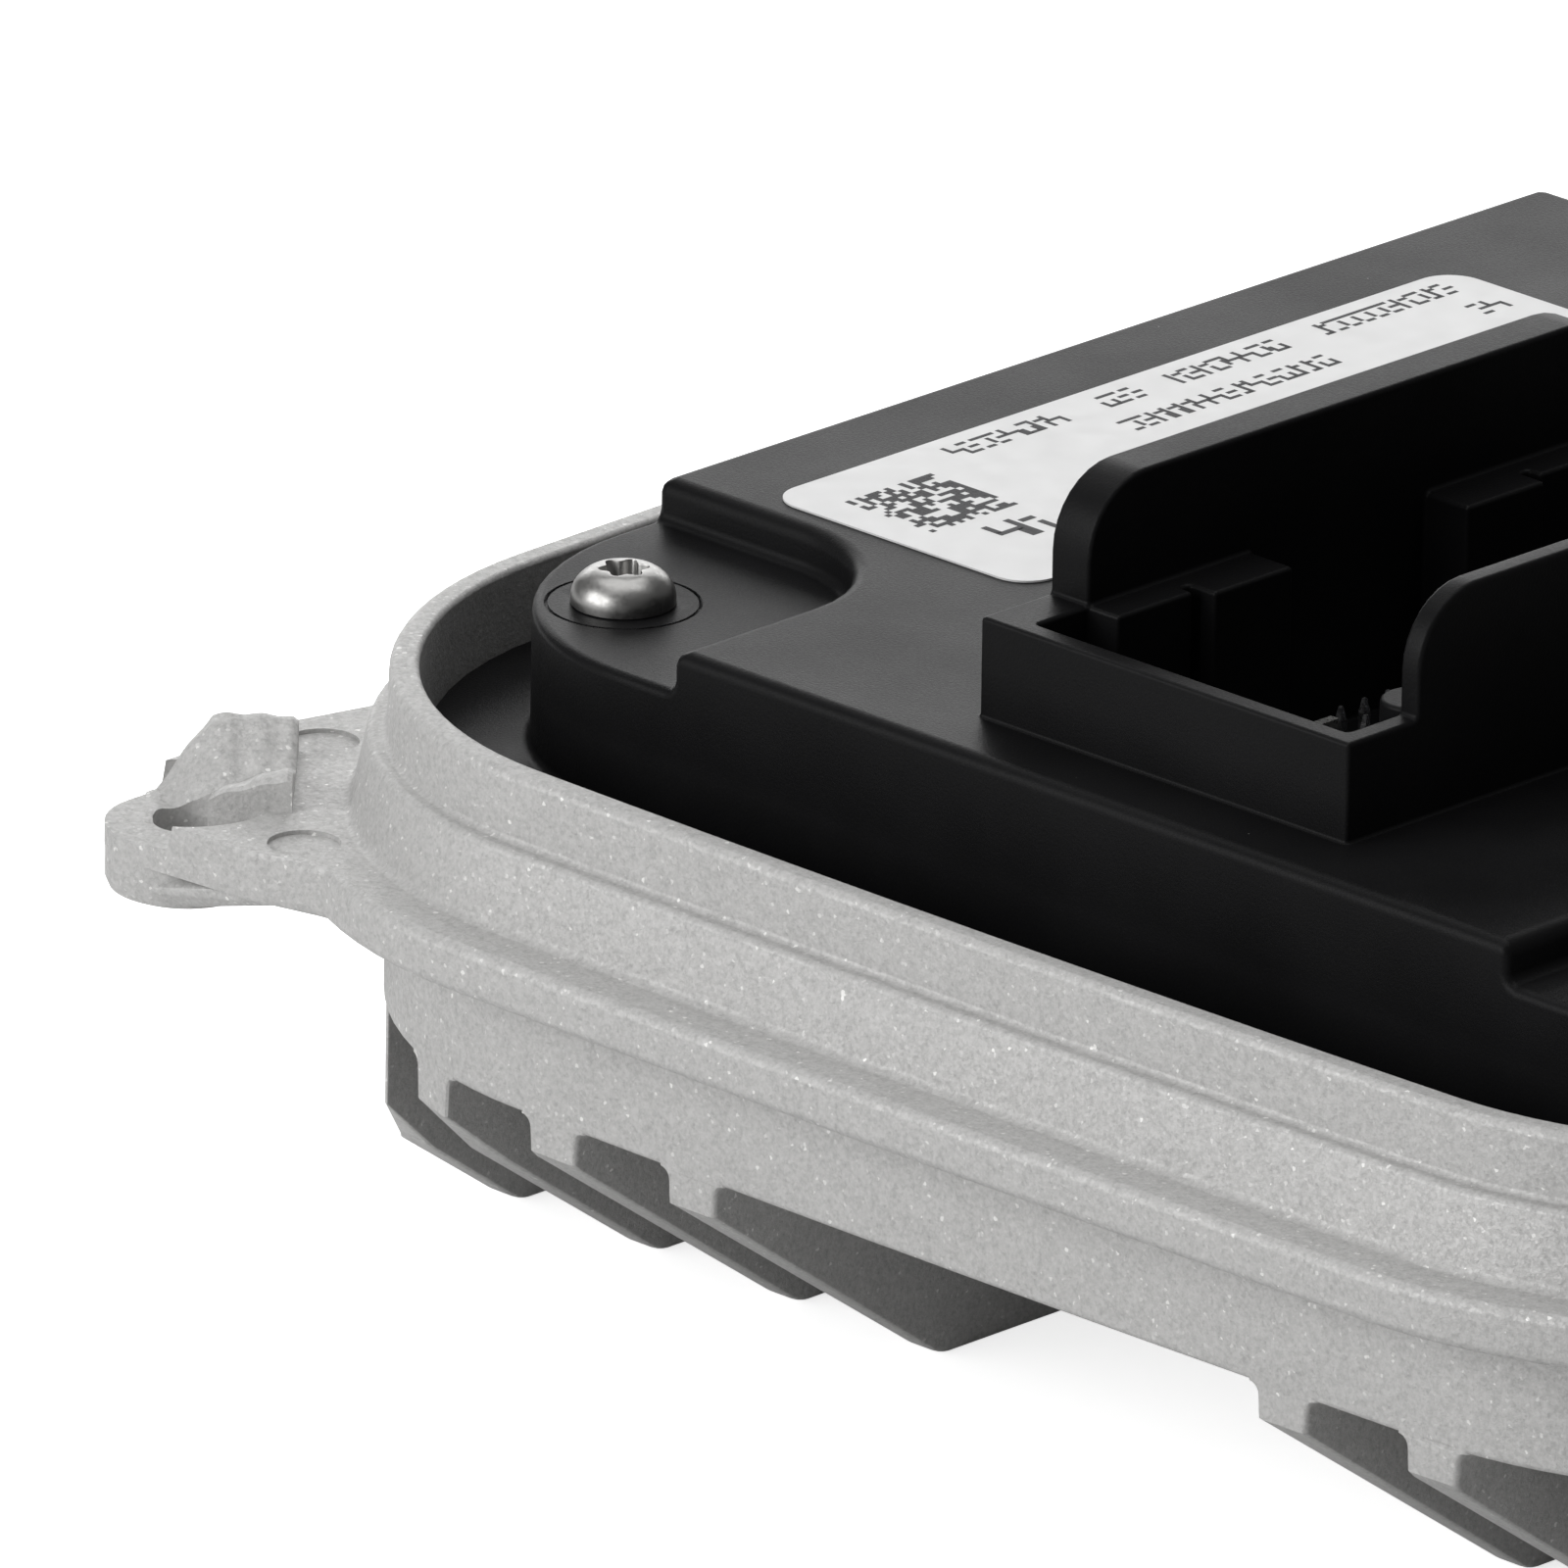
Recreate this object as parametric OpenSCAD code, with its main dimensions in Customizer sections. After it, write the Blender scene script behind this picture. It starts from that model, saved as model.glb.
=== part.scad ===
// Sealed electronic control unit: a finned die-cast housing with corner ears,
// a moulded cover with an open connector shroud, and the electronics inside.
// Origin: centre of the fin tips' plane. +Z points out of the connector.

/* [Case plan] */
// Half the flange's width at the middle of a side
case_half_x = 89.7; // [80:0.1:110]
// Half the flange's length at the middle of a side
case_half_y = 94.6; // [85:0.1:120]
// Corner radius of the flange in plan
case_corner_r = 41; // [36:0.5:45]
// How far each side bows out between its corners
side_bow = 1.6; // [0:0.1:3]
// Width of the ledge on top of the flange
flange_ledge = 4.4; // [3:0.1:6]
// Width of the small ledge halfway up the rim
rim_step = 2.7; // [1:0.1:3]
// Width of the rim's flat top
rim_w = 2.4; // [1.6:0.1:3.5]
// Width of the seat that the cover's flange lies on
seat_w = 5; // [4.5:0.1:8]

/* [Case heights] */
// Height of the fins below the housing's underside
fin_drop = 20.7; // [14:0.1:36]
// Height of the wall below the flange
lower_wall_h = 11.2; // [8:0.1:16]
// Thickness of the flange
flange_t = 4; // [3:0.1:6]
// Height of the rim's lower band
rim_band_h = 6; // [4:0.1:9]
// Height of the rim's upper band
rim_top_h = 5.3; // [4:0.1:8]
// Thickness of the housing's floor
floor_t = 3; // [2:0.1:4]
// Depth of the seat below the top of the rim's lower band
seat_drop = 3.3; // [2:0.1:4]

/* [Fins] */
// Thickness of a fin where it meets the housing
fin_root_t = 5.2; // [3.5:0.1:6]
// Thickness of a fin at its tip
fin_tip_t = 3; // [2:0.1:3.4]
// Distance between neighbouring fins, centre to centre
fin_pitch = 14.8; // [10:0.1:18]
// Half the distance between the two groups' innermost fins
fin_first_x = 30.3; // [16:0.1:32]
// How far the fin groups' middle lies to the side of the case's
fin_offset_x = 2.2; // [0:0.1:3]
// Number of fins on each side of the middle
fins_per_side = 4; // [2:1:4]
// Height of the upright end of a fin under the wall
fin_tooth_h = 2.7; // [1:0.1:5]
// Angle of a fin's sloping end above the horizontal
fin_slope = 35; // [30:1:60]
// Radius of a fin's bottom corners
fin_tip_r = 4; // [1:0.5:6]

/* [Ears] */
// Radius of the mounting holes
ear_hole_r = 2.6; // [1.6:0.1:3.3]
// Radius of an ear's tip
ear_tip_r = 6.2; // [5:0.1:8]
// Distance from the flange's side to the hole's centre, across X
ear_inset_x = 6.6; // [6.4:0.1:10]
// Distance from the flange's end to the hole's centre, along Y
ear_inset_y = 8.9; // [8:0.1:12]
// How far the tip's pad lies below the flange's top
ear_pad_drop = 2.2; // [1:0.1:3]
// How far the tip's boss reaches below the flange
ear_boss_drop = 3.4; // [1:0.1:4]
// Height of the raised wedge beside the hole
ear_wedge_h = 3; // [1.5:0.1:4]
// Width of the raised wedge
ear_wedge_w = 11.6; // [8:0.1:12]
// Diameter of the ejector marks on an ear
ejector_d = 5.6; // [4:0.1:7]

/* [Cover] */
// Gap between the cover's flange and the rim
cover_gap = 0.6; // [0.3:0.1:1]
// Width of the trough between the rim and the cover's wall
trough_w = 10; // [9:0.1:12]
// Corner radius of the cover's raised body
cover_corner_r = 22; // [18:0.5:25]
// Height of the cover's body above its flange
cover_h = 14.3; // [12:0.1:20]
// Wall thickness of the cover
cover_t = 2.5; // [2:0.1:3.5]
// Length of a corner pocket along X
pocket_x = 27.5; // [26:0.1:32]
// Length of a corner pocket along Y
pocket_y = 26.3; // [25:0.1:30]
// Depth of a corner pocket
pocket_depth = 3.3; // [2.8:0.1:4]
// Inner corner radius of a pocket
pocket_r = 12; // [8:0.5:13]
// Distance from the cover's edges to a cover screw
screw_inset = 11.3; // [10:0.1:13]
// Diameter of the ring groove round a cover screw
ring_d = 12; // [10.5:0.1:14]
// Width and depth of the ring groove
ring_groove = 0.3; // [0.2:0.05:0.4]

/* [Shroud] */
// Outer width of the connector shroud
shroud_w = 37.6; // [34:0.1:44]
// Outer length of the connector shroud
shroud_l = 72.6; // [64:0.1:84]
// X of the shroud's centre
shroud_x = 1.7; // [-6:0.1:6]
// Gap from the cover's near edge to the shroud's near face
shroud_edge_gap = 6.4; // [5:0.1:12]
// Height of the shroud's low ends above the cover
shroud_low_h = 7.9; // [6:0.1:12]
// Height of the raised side walls above the low ends
shroud_raise_h = 9.4; // [6:0.1:14]
// Distance from the near face to the start of a raised wall
shroud_raise_start = 7.4; // [5:0.1:10]
// Corner radius of a raised wall
shroud_raise_r = 6; // [3:0.5:8]
// Thickness of the shroud's thin walls
shroud_t = 1.9; // [1.6:0.1:2.4]
// Thickness of the shroud's thick side wall
shroud_thick_t = 4; // [3:0.1:5]
// Depth of the shroud's floor below the cover's top
shroud_depth = 8.3; // [6:0.1:10]
// Length of a keying rib inside the shroud
rib_l = 17.4; // [14:0.1:20]
// Length of the deeper block at a rib's end
rib_block_l = 8.4; // [5:0.1:10]
// How far the ribs rise above the shroud's low ends
rib_rise = 2.4; // [1:0.1:4]
// Reach of the keying ribs from the thick wall
rib_reach = 4.4; // [3:0.1:5]

/* [Screws] */
// Nominal thread diameter of the cover screws
cover_screw_d = 4; // [3:0.5:5]
// Head diameter of the cover screws
cover_screw_head_d = 8; // [6:0.5:10]
// Head height of the cover screws
cover_screw_head_h = 3.1; // [2:0.1:4]
// Length of the cover screws under the head
cover_screw_l = 25; // [20:1:26]
// Outer diameter of the compression limiters
limiter_d = 6.4; // [6:0.1:7]
// Radial clearance between a limiter and its screw
limiter_gap = 0.25; // [0.1:0.05:0.3]
// Outer diameter of the screw posts
post_d = 11; // [10:0.5:13]
// Nominal thread diameter of the board screws
board_screw_d = 3; // [2:0.5:4]
// Length of the board screws under the head
board_screw_l = 6; // [5:0.5:7]

/* [Board] */
// Thickness of the circuit board
board_t = 1.6; // [1:0.1:2.4]
// Height of the board's standoffs above the floor
standoff_h = 6; // [4:0.1:8]
// Diameter of the board's standoffs
standoff_d = 7; // [6:0.5:9]
// Gap between the board's edge and the cavity wall
board_gap = 2; // [1:0.1:4]
// Distance from the middle to the board screws near the ends, across X
board_screw_x = 35.9; // [28:0.1:40]
// Distance from the middle to the board screws near the ends, along Y
board_screw_y = 68.1; // [60:0.1:70]
// Distance from the middle to the two board screws and the dowels at the sides
board_side_x = 64.6; // [58:0.1:66]
// Distance from the middle to the dowels, along Y
dowel_y = 28.4; // [20:0.1:34]
// Diameter of the locating dowels
dowel_d = 3; // [2:0.5:4]
// Thickness of floor left under a dowel's hole in its standoff
blind_t = 1; // [0.5:0.1:2]
// Clearance of pieces that pass through the board
board_hole_gap = 0.15; // [0.1:0.05:0.3]
// Thickness of the thermal pads
thermal_pad_t = 1; // [0.5:0.1:2]
// Width of a thermal platform
platform_w = 28; // [26:0.5:32]
// Length of a thermal platform
platform_l = 34; // [30:0.5:36]
// X of the thermal platforms' centre
platform_x = -48; // [-50:0.5:-46]
// Y of the near platform's centre
platform_near_y = -22.7; // [-26:0.1:-20]
// Y of the far platform's centre
platform_far_y = 28.4; // [20:0.1:30]

/* [Components] */
// Radius of a storage capacitor
capacitor_r = 8; // [5:0.5:8.5]
// Height of a storage capacitor
capacitor_h = 17; // [10:0.5:19]
// Distance between the storage capacitors
capacitor_pitch = 18; // [17.5:0.5:20]
// Y of the row of storage capacitors
capacitor_y = 56.8; // [54:0.1:60]
// Radius of the choke's ring
choke_r = 6; // [5.5:0.1:8]
// Radius of the choke's core
choke_tube_r = 3; // [2:0.1:3.5]
// Thickness of the choke's winding
winding_t = 1.2; // [0.5:0.1:1.4]

/* [Connector] */
// Thickness of a square signal pin
pin_t = 0.64; // [0.5:0.01:0.8]
// Distance between neighbouring signal pins
pin_pitch = 2.54; // [2:0.01:3]
// Rows of signal pins
pin_rows = 4; // [2:1:5]
// Signal pins in a row
pins_per_row = 14; // [6:1:16]
// Width of a power blade
blade_w = 6.3; // [4.8:0.1:8]
// Thickness of a power blade
blade_t = 0.8; // [0.6:0.1:1.2]
// Number of power blades
blade_count = 2; // [1:1:2]
// How far the pins stand above the shroud's floor
pin_stand = 9; // [6:0.1:10]
// Gap between the pin carrier and the shroud's floor opening
carrier_gap = 0.2; // [0.1:0.05:0.4]

/* [Vent and label] */
// Diameter of the vent cap
vent_cap_d = 16; // [12:0.5:20]
// Height of the vent cap
vent_cap_h = 3.2; // [2:0.1:5]
// Width of the label
label_w = 27.3; // [20:0.1:34]
// Length of the label
label_l = 75; // [50:0.5:90]
// Gap between the label and the cover's side edge
label_gap_x = 8.9; // [6:0.1:12]
// Gap between the label and the cover's near edge
label_gap_y = 29; // [26:0.1:34]
// Corner radius of the label
label_r = 3; // [1:0.5:5]
// Thickness of the label
label_t = 0.15; // [0.1:0.05:0.3]

/* [Hidden] */

$fn = 48;
EPS = 1;                  // overshoot of a cutting tool past the face it cuts
CORNER_STEPS = 14;        // points on a corner of a plan outline
SIDE_STEPS = 8;           // points on a bowed side of a plan outline
EAR_STEPS = 8;            // points on a quarter of an ear's round tip
QUADRANTS = [[-1, -1], [1, -1], [1, 1], [-1, 1]];

// Insets of the plan outlines from the flange's edge
band_inset = flange_ledge;
rim_inset = band_inset + rim_step;
rim_inner_inset = rim_inset + rim_w;
cavity_inset = rim_inner_inset + seat_w;

// Heights
z_under = fin_drop;
z_flange = z_under + lower_wall_h;
z_flange_top = z_flange + flange_t;
z_band_top = z_flange_top + rim_band_h;
z_rim_top = z_band_top + rim_top_h;
z_floor = z_under + floor_t;
z_seat = z_band_top - seat_drop;
z_trough = z_seat + cover_t;
z_cover_top = z_trough + cover_h;
z_pocket = z_cover_top - pocket_depth;
z_cover_inner = z_cover_top - cover_t;
z_board = z_floor + standoff_h;
z_board_top = z_board + board_t;

// Cover plan
cover_half_x = case_half_x - rim_inner_inset - trough_w;
cover_half_y = case_half_y - rim_inner_inset - trough_w;
screw_x = cover_half_x - screw_inset;
screw_y = cover_half_y - screw_inset;

// Mounting holes
ear_x = case_half_x - ear_inset_x;
ear_y = case_half_y - ear_inset_y;
z_ear_pad = z_flange_top - ear_pad_drop;
z_ear_under = z_flange - ear_boss_drop;

// Shroud box
shroud_x0 = shroud_x - shroud_w / 2;
shroud_x1 = shroud_x + shroud_w / 2;
shroud_y0 = -cover_half_y + shroud_edge_gap;
shroud_y1 = shroud_y0 + shroud_l;
z_shroud_floor = z_cover_top - shroud_depth;
z_shroud_under = z_shroud_floor - cover_t;
z_shroud_low = z_cover_top + shroud_low_h;
z_shroud_high = z_shroud_low + shroud_raise_h;
shroud_inner_x0 = shroud_x0 + shroud_thick_t;
shroud_inner_x1 = shroud_x1 - shroud_t;

rib_mid_y = shroud_l / 2;  // from the first keying rib's start to the middle one's

// Pin field, centred in the shroud
pin_mid_x = (shroud_inner_x0 + shroud_inner_x1) / 2 + rib_reach / 2;
pin_mid_y = (shroud_y0 + shroud_y1) / 2;
carrier_w = (pin_rows - 1) * pin_pitch + 6;
carrier_l = (pins_per_row - 1) * pin_pitch + blade_count * 2 * (blade_w + 1) + 3;
z_pin_top = z_shroud_floor + pin_stand;
z_pin_tail = z_board - 1.2;

// Board fasteners
board_screw_at = concat([for (q = QUADRANTS) [q[0] * board_screw_x, q[1] * board_screw_y]],
  [[-board_side_x, 0], [board_side_x, 0]]);
dowel_at = [[-board_side_x, -dowel_y], [board_side_x, dowel_y]];

// Middles of the thermal platforms
platform_at = [[platform_x, platform_near_y], [platform_x, platform_far_y]];

// Sizes [w, l, h] and places of the packages on the board, from the board's middle
transistor = [10, 11, 2.3];
transistor_step = [14, 16];
controller = [14, 14, 1.4];
controller_at = [46, -10];
driver = [5, 6.2, 1.5];
driver_at = [[-22, -50], [-22, -40]];
transceiver_at = [[32, -62], [32, -54]];
regulator = [10, 9, 4.4];
regulator_at = [34, 44];
crystal = [3.2, 5, 1.1];
crystal_at = [32, -16];
shunt = [18, 7, 1.6];
shunt_at = [48, 4];
chip = [1.6, 3.2];
chip_x = 26;
chip_pitch = 5;
chip_count = 6;
ceramic_y = 16;
ceramic_h = 1.6;
resistor_y = 24;
resistor_h = 0.6;
capacitor_x = 6;
choke_at = [44, -38];
choke_lift = choke_tube_r + winding_t + 0.4;

// Vent on the free part of the cover
vent_x = cover_half_x / 2;
vent_y = (shroud_y1 + cover_half_y) / 2;
vent_bore_r = 3;
vent_stem_r = 4.5;
vent_stem_h = 4;
vent_seal_r = 1;
vent_ledge_h = 1.5;       // from the stem's lower end to the membrane
membrane_t = 0.4;
vent_lip_w = 1.5;         // wall of the vent cap
vent_lip_h = 1.2;
vent_slot_w = 2;
vent_slot_h = 0.9;

z_vent_ledge = z_cover_inner - vent_stem_h + vent_ledge_h;

// Label
label_x = -cover_half_x + label_gap_x + label_w / 2;
label_y = -cover_half_y + label_gap_y + label_l / 2;

// Gasket
gasket_w = 2.2;
gasket_depth = 1.2;

// Corner of a plan outline: an arc about [cx, cy], starting at angle a0
function corner_arc(cx, cy, r, a0) =
  [for (i = [0 : CORNER_STEPS - 1])
    let (a = a0 + 90 * i / CORNER_STEPS) [cx + r * cos(a), cy + r * sin(a)]];

// Straight side from p to q, without its last point
function side_points(p, q) = [for (i = [0 : SIDE_STEPS - 1]) p + (q - p) * i / SIDE_STEPS];

// Rounded rectangle with half sizes bx, by
function rounded(bx, by, r) = let (cx = bx - r, cy = by - r) concat(
  side_points([bx, -cy], [bx, cy]), corner_arc(cx, cy, r, 0),
  side_points([cx, by], [-cx, by]), corner_arc(-cx, cy, r, 90),
  side_points([-bx, cy], [-bx, -cy]), corner_arc(-cx, -cy, r, 180),
  side_points([-cx, -by], [cx, -by]), corner_arc(cx, -cy, r, 270));

// The case outline, inset from the flange's edge, its sides bowed outwards
function case_outline(inset) =
  let (bx = case_half_x - inset - side_bow, by = case_half_y - inset - side_bow)
  [for (p = rounded(bx, by, case_corner_r - inset))
    [p[0] + side_bow * p[0] / bx * (1 - pow(p[1] / by, 2)),
     p[1] + side_bow * p[1] / by * (1 - pow(p[0] / bx, 2))]];

// Y of the case outline's far side at a given x
function case_y(inset, x) =
  let (bx = case_half_x - inset - side_bow, by = case_half_y - inset - side_bow,
       r = case_corner_r - inset, over = max(0, abs(x) - (bx - r)))
  by - r + sqrt(r * r - over * over) + side_bow * (1 - pow(x / bx, 2));

// Arc of a fillet of radius r between directions a0 and a1 about a centre
function arc(c, r, a0, a1, steps) =
  [for (i = [0 : steps]) let (a = a0 + (a1 - a0) * i / steps) [c[0] + r * cos(a), c[1] + r * sin(a)]];

module case_slab(inset, z0, z1) {
  translate([0, 0, z0]) linear_extrude(z1 - z0) polygon(case_outline(inset));
}

module cover_slab(inset, z0, z1) {
  translate([0, 0, z0]) linear_extrude(z1 - z0)
    polygon(rounded(cover_half_x - inset, cover_half_y - inset, cover_corner_r - inset));
}

module block(x0, x1, y0, y1, z0, z1) {
  translate([x0, y0, z0]) cube([x1 - x0, y1 - y0, z1 - z0]);
}

module at_corners(x, y) {
  for (q = QUADRANTS) translate([q[0] * x, q[1] * y, 0]) children();
}

module mirrored_corners() {
  for (mx = [0, 1], my = [0, 1]) mirror([mx, 0, 0]) mirror([0, my, 0]) children();
}

// ---- Housing ----

// Y at which every fin's slope would end, on the wall over the innermost fins
fin_end_y = case_y(rim_inset, fin_first_x + fin_root_t / 2);

// One cooling fin at x: its side view, cut to a cross-section that tapers to the tip
module fin(x) {
  z_tooth = z_under - fin_tooth_h;
  y_tip = fin_end_y - z_tooth / tan(fin_slope);
  c = [y_tip - fin_tip_r * tan(fin_slope / 2), fin_tip_r];
  right = concat(arc(c, fin_tip_r, -90, -90 + fin_slope, 5),
    [[fin_end_y + EPS, z_tooth + EPS * tan(fin_slope)], [fin_end_y + EPS, z_under + EPS]]);
  left = [for (i = [len(right) - 1 : -1 : 0]) [-right[i][0], right[i][1]]];
  translate([x, 0, 0]) intersection() {
    translate([-fin_root_t, 0, 0]) rotate([90, 0, 90]) linear_extrude(2 * fin_root_t)
      polygon(concat(right, left));
    rotate([90, 0, 0]) linear_extrude(2 * fin_end_y + 4 * EPS, center = true)
      polygon([[-fin_tip_t / 2, 0], [fin_tip_t / 2, 0], [fin_root_t / 2, z_under],
        [fin_root_t / 2, z_under + EPS], [-fin_root_t / 2, z_under + EPS], [-fin_root_t / 2, z_under]]);
  }
}

module fins() {
  intersection() {
    for (side = [-1, 1], i = [0 : fins_per_side - 1])
      fin(fin_offset_x + side * (fin_first_x + i * fin_pitch));
    case_slab(rim_inset, -EPS, z_under + floor_t / 2);
  }
}

// Plan of one ear, in the (-X, -Y) corner: its inner end lies inside the flange
function ear_outline() = concat(
  [[-case_half_x + case_corner_r, -ear_y + 2 * ear_tip_r],
   [-case_half_x + 4, -case_half_y + case_corner_r],
   [-ear_x - ear_tip_r, -ear_y + ear_tip_r]],
  arc([-ear_x, -ear_y], ear_tip_r, 180, 270, EAR_STEPS),
  [[-ear_x + 12, -ear_y - ear_tip_r + 0.9], [-ear_x + 24, -ear_y - ear_tip_r + 3]]);

// The raised wedge between the hole and the rim, its slope falling outwards to the tip's pad
module ear_wedge() {
  top = z_flange_top + ear_wedge_h;
  translate([-ear_x, -ear_y, 0]) rotate(225) translate([0, ear_hole_r + 0.2, 0])
    rotate([90, 0, 0]) linear_extrude(ear_wedge_w)
      polygon([[-9.5, z_flange], [-9.5, z_flange_top], [-7.6, top], [-4.2, top],
        [-0.4, z_ear_pad + 0.6], [-0.4, z_flange]]);
}

module ear() {
  difference() {
    union() {
      translate([0, 0, z_flange]) linear_extrude(flange_t) polygon(ear_outline());
      translate([0, 0, z_ear_under]) linear_extrude(flange_t)
        polygon(arc([-ear_x, -ear_y], ear_tip_r, 0, 360 - 90 / EAR_STEPS, 4 * EAR_STEPS - 1));
    }
    translate([-ear_x, -ear_y, z_ear_pad]) cylinder(r = ear_tip_r + 0.4, h = flange_t);
  }
  ear_wedge();
}

module ejector_marks() {
  for (p = [[ear_x - 13.7, ear_y + 1.2], [ear_x + 1, ear_y - 15.4]])
    translate([-p[0], -p[1], z_flange_top - 0.3]) cylinder(d = ejector_d, h = EPS);
}

// Seat groove for the gasket
module gasket_ring(extra_w, z0, z1) {
  mid = rim_inner_inset + seat_w / 2 + 0.2;
  difference() {
    case_slab(mid - (gasket_w + extra_w) / 2, z0, z1);
    case_slab(mid + (gasket_w + extra_w) / 2, z0 - EPS, z1 + EPS);
  }
}

module thermal_platforms(z0, z1) {
  for (p = platform_at)
    block(p[0] - platform_w / 2, p[0] + platform_w / 2, p[1] - platform_l / 2, p[1] + platform_l / 2, z0, z1);
}

module heatsink_housing() {
  color([0.72, 0.72, 0.71]) difference() {
    union() {
      case_slab(rim_inset, z_under, z_flange + EPS);
      case_slab(0, z_flange, z_flange_top);
      case_slab(band_inset, z_flange, z_band_top);
      case_slab(rim_inset, z_flange, z_rim_top);
      fins();
      mirrored_corners() ear();
    }
    case_slab(rim_inner_inset, z_seat, z_rim_top + EPS);
    difference() {
      case_slab(cavity_inset, z_floor, z_seat + EPS);
      at_corners(screw_x, screw_y) translate([0, 0, z_under]) cylinder(d = post_d, h = z_seat - z_under);
      for (p = board_screw_at)
        translate([p[0], p[1], z_under]) cylinder(d = standoff_d, h = z_board - z_under);
      for (p = dowel_at)
        translate([p[0], p[1], z_under]) cylinder(d = standoff_d, h = z_board - z_under);
      thermal_platforms(z_under, z_board - thermal_pad_t);
    }
    gasket_ring(0, z_seat - gasket_depth, z_seat + EPS);
    at_corners(screw_x, screw_y)
      translate([0, 0, z_pocket - cover_screw_l - EPS]) cylinder(d = cover_screw_d, h = cover_screw_l);
    for (p = board_screw_at)
      translate([p[0], p[1], z_board_top - board_screw_l - blind_t / 2]) cylinder(d = board_screw_d, h = board_screw_l);
    for (p = dowel_at)
      translate([p[0], p[1], z_floor + blind_t]) cylinder(d = dowel_d, h = standoff_h);
    at_corners(ear_x, ear_y) translate([0, 0, z_ear_under - EPS])
      cylinder(r = ear_hole_r, h = ear_boss_drop + flange_t + ear_wedge_h + 2 * EPS);
    mirrored_corners() ejector_marks();
  }
}

// ---- Cover ----

// Volume of one pocket, in the (-X, -Y) corner
module pocket(inset, z0, z1) {
  x1 = -cover_half_x + pocket_x + inset;
  y1 = -cover_half_y + pocket_y + inset;
  x0 = -cover_half_x - EPS;
  y0 = -cover_half_y - EPS;
  r = pocket_r + inset;
  translate([0, 0, z0]) linear_extrude(z1 - z0)
    polygon(concat([[x0, y0], [x1, y0]], arc([x1 - r, y1 - r], r, 0, 90, 8), [[x0, y1]]));
}

// Side profile of a raised wall, drawn along Y and extruded by t along X
module raised_wall(x0, t) {
  a = shroud_y0 + shroud_raise_start;
  b = shroud_y1 - shroud_raise_start;
  r = shroud_raise_r;
  translate([x0, 0, 0]) rotate([90, 0, 90]) linear_extrude(t)
    polygon(concat([[b, z_shroud_low - EPS], [b, z_shroud_high - r]],
      arc([b - r, z_shroud_high - r], r, 0, 90, 8), arc([a + r, z_shroud_high - r], r, 90, 180, 8),
      [[a, z_shroud_low - EPS]]));
}

// A stepped keying rib on the thick wall: a low ledge from 0 to its block, along +Y
module keying_rib() {
  x0 = shroud_inner_x0 - EPS;
  top = z_shroud_low + rib_rise;
  block_y = rib_l - rib_block_l;
  block(x0, shroud_inner_x0 + rib_reach, block_y, rib_l, z_shroud_floor, top);
  block(x0, shroud_inner_x0 + rib_reach * 0.7, 0, block_y - 1, z_shroud_floor, top);
  block(x0, shroud_inner_x0 + rib_reach * 0.4, 0, rib_l, z_shroud_floor, top - 1);
}

// A round boss in the corner where the thin raised wall starts
module corner_boss() {
  translate([shroud_inner_x1 - 1.6, shroud_y0 + shroud_raise_start + 3.4, z_shroud_floor])
    cylinder(r = 2.6, h = shroud_depth + shroud_low_h + 0.4);
}

module shroud_walls() {
  block(shroud_x0, shroud_x1, shroud_y0, shroud_y1, z_shroud_under, z_shroud_low);
  raised_wall(shroud_x0, shroud_thick_t);
  raised_wall(shroud_x1 - shroud_t, shroud_t);
}

module shroud_cavity() {
  difference() {
    block(shroud_inner_x0, shroud_inner_x1, shroud_y0 + shroud_t, shroud_y1 - shroud_t,
      z_shroud_floor, z_shroud_high + EPS);
    translate([0, shroud_y0 + shroud_raise_start, 0]) keying_rib();
    translate([0, shroud_y0 + shroud_raise_start + rib_mid_y + rib_l, 0]) mirror([0, 1, 0]) keying_rib();
    corner_boss();
  }
}

module carrier_block(gap, z0, z1) {
  block(pin_mid_x - carrier_w / 2 - gap, pin_mid_x + carrier_w / 2 + gap,
    pin_mid_y - carrier_l / 2 - gap, pin_mid_y + carrier_l / 2 + gap, z0, z1);
}

module cover() {
  color([0.12, 0.12, 0.125]) difference() {
    union() {
      difference() {
        union() {
          case_slab(rim_inner_inset + cover_gap, z_seat, z_trough);
          cover_slab(0, z_seat, z_cover_top);
        }
        difference() {
          cover_slab(cover_t, z_seat - EPS, z_cover_inner);
          mirrored_corners() pocket(cover_t, z_pocket - cover_t, z_cover_inner + EPS);
          at_corners(screw_x, screw_y) translate([0, 0, z_seat]) cylinder(d = post_d, h = cover_h);
          translate([vent_x, vent_y, z_cover_inner - vent_stem_h])
            cylinder(r = vent_stem_r + cover_t, h = vent_stem_h + EPS);
        }
        mirrored_corners() pocket(0, z_pocket, z_cover_top + EPS);
      }
      shroud_walls();
    }
    shroud_cavity();
    carrier_block(carrier_gap, z_shroud_under - EPS, z_shroud_floor + EPS);
    at_corners(screw_x, screw_y) {
      translate([0, 0, z_seat - EPS]) cylinder(d = limiter_d, h = cover_h + cover_t);
      difference() {
        translate([0, 0, z_pocket - ring_groove]) cylinder(d = ring_d, h = EPS);
        translate([0, 0, z_pocket - EPS]) cylinder(d = ring_d - 2 * ring_groove, h = 2 * EPS);
      }
    }
    translate([vent_x, vent_y, z_cover_inner - vent_stem_h - EPS]) cylinder(r = vent_bore_r, h = cover_h);
    translate([vent_x, vent_y, z_vent_ledge]) cylinder(r = vent_stem_r, h = cover_h);
  }
}

module cover_gasket() {
  color([0.25, 0.25, 0.26]) gasket_ring(0, z_seat - gasket_depth, z_seat);
}

// ---- Fasteners ----

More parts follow.
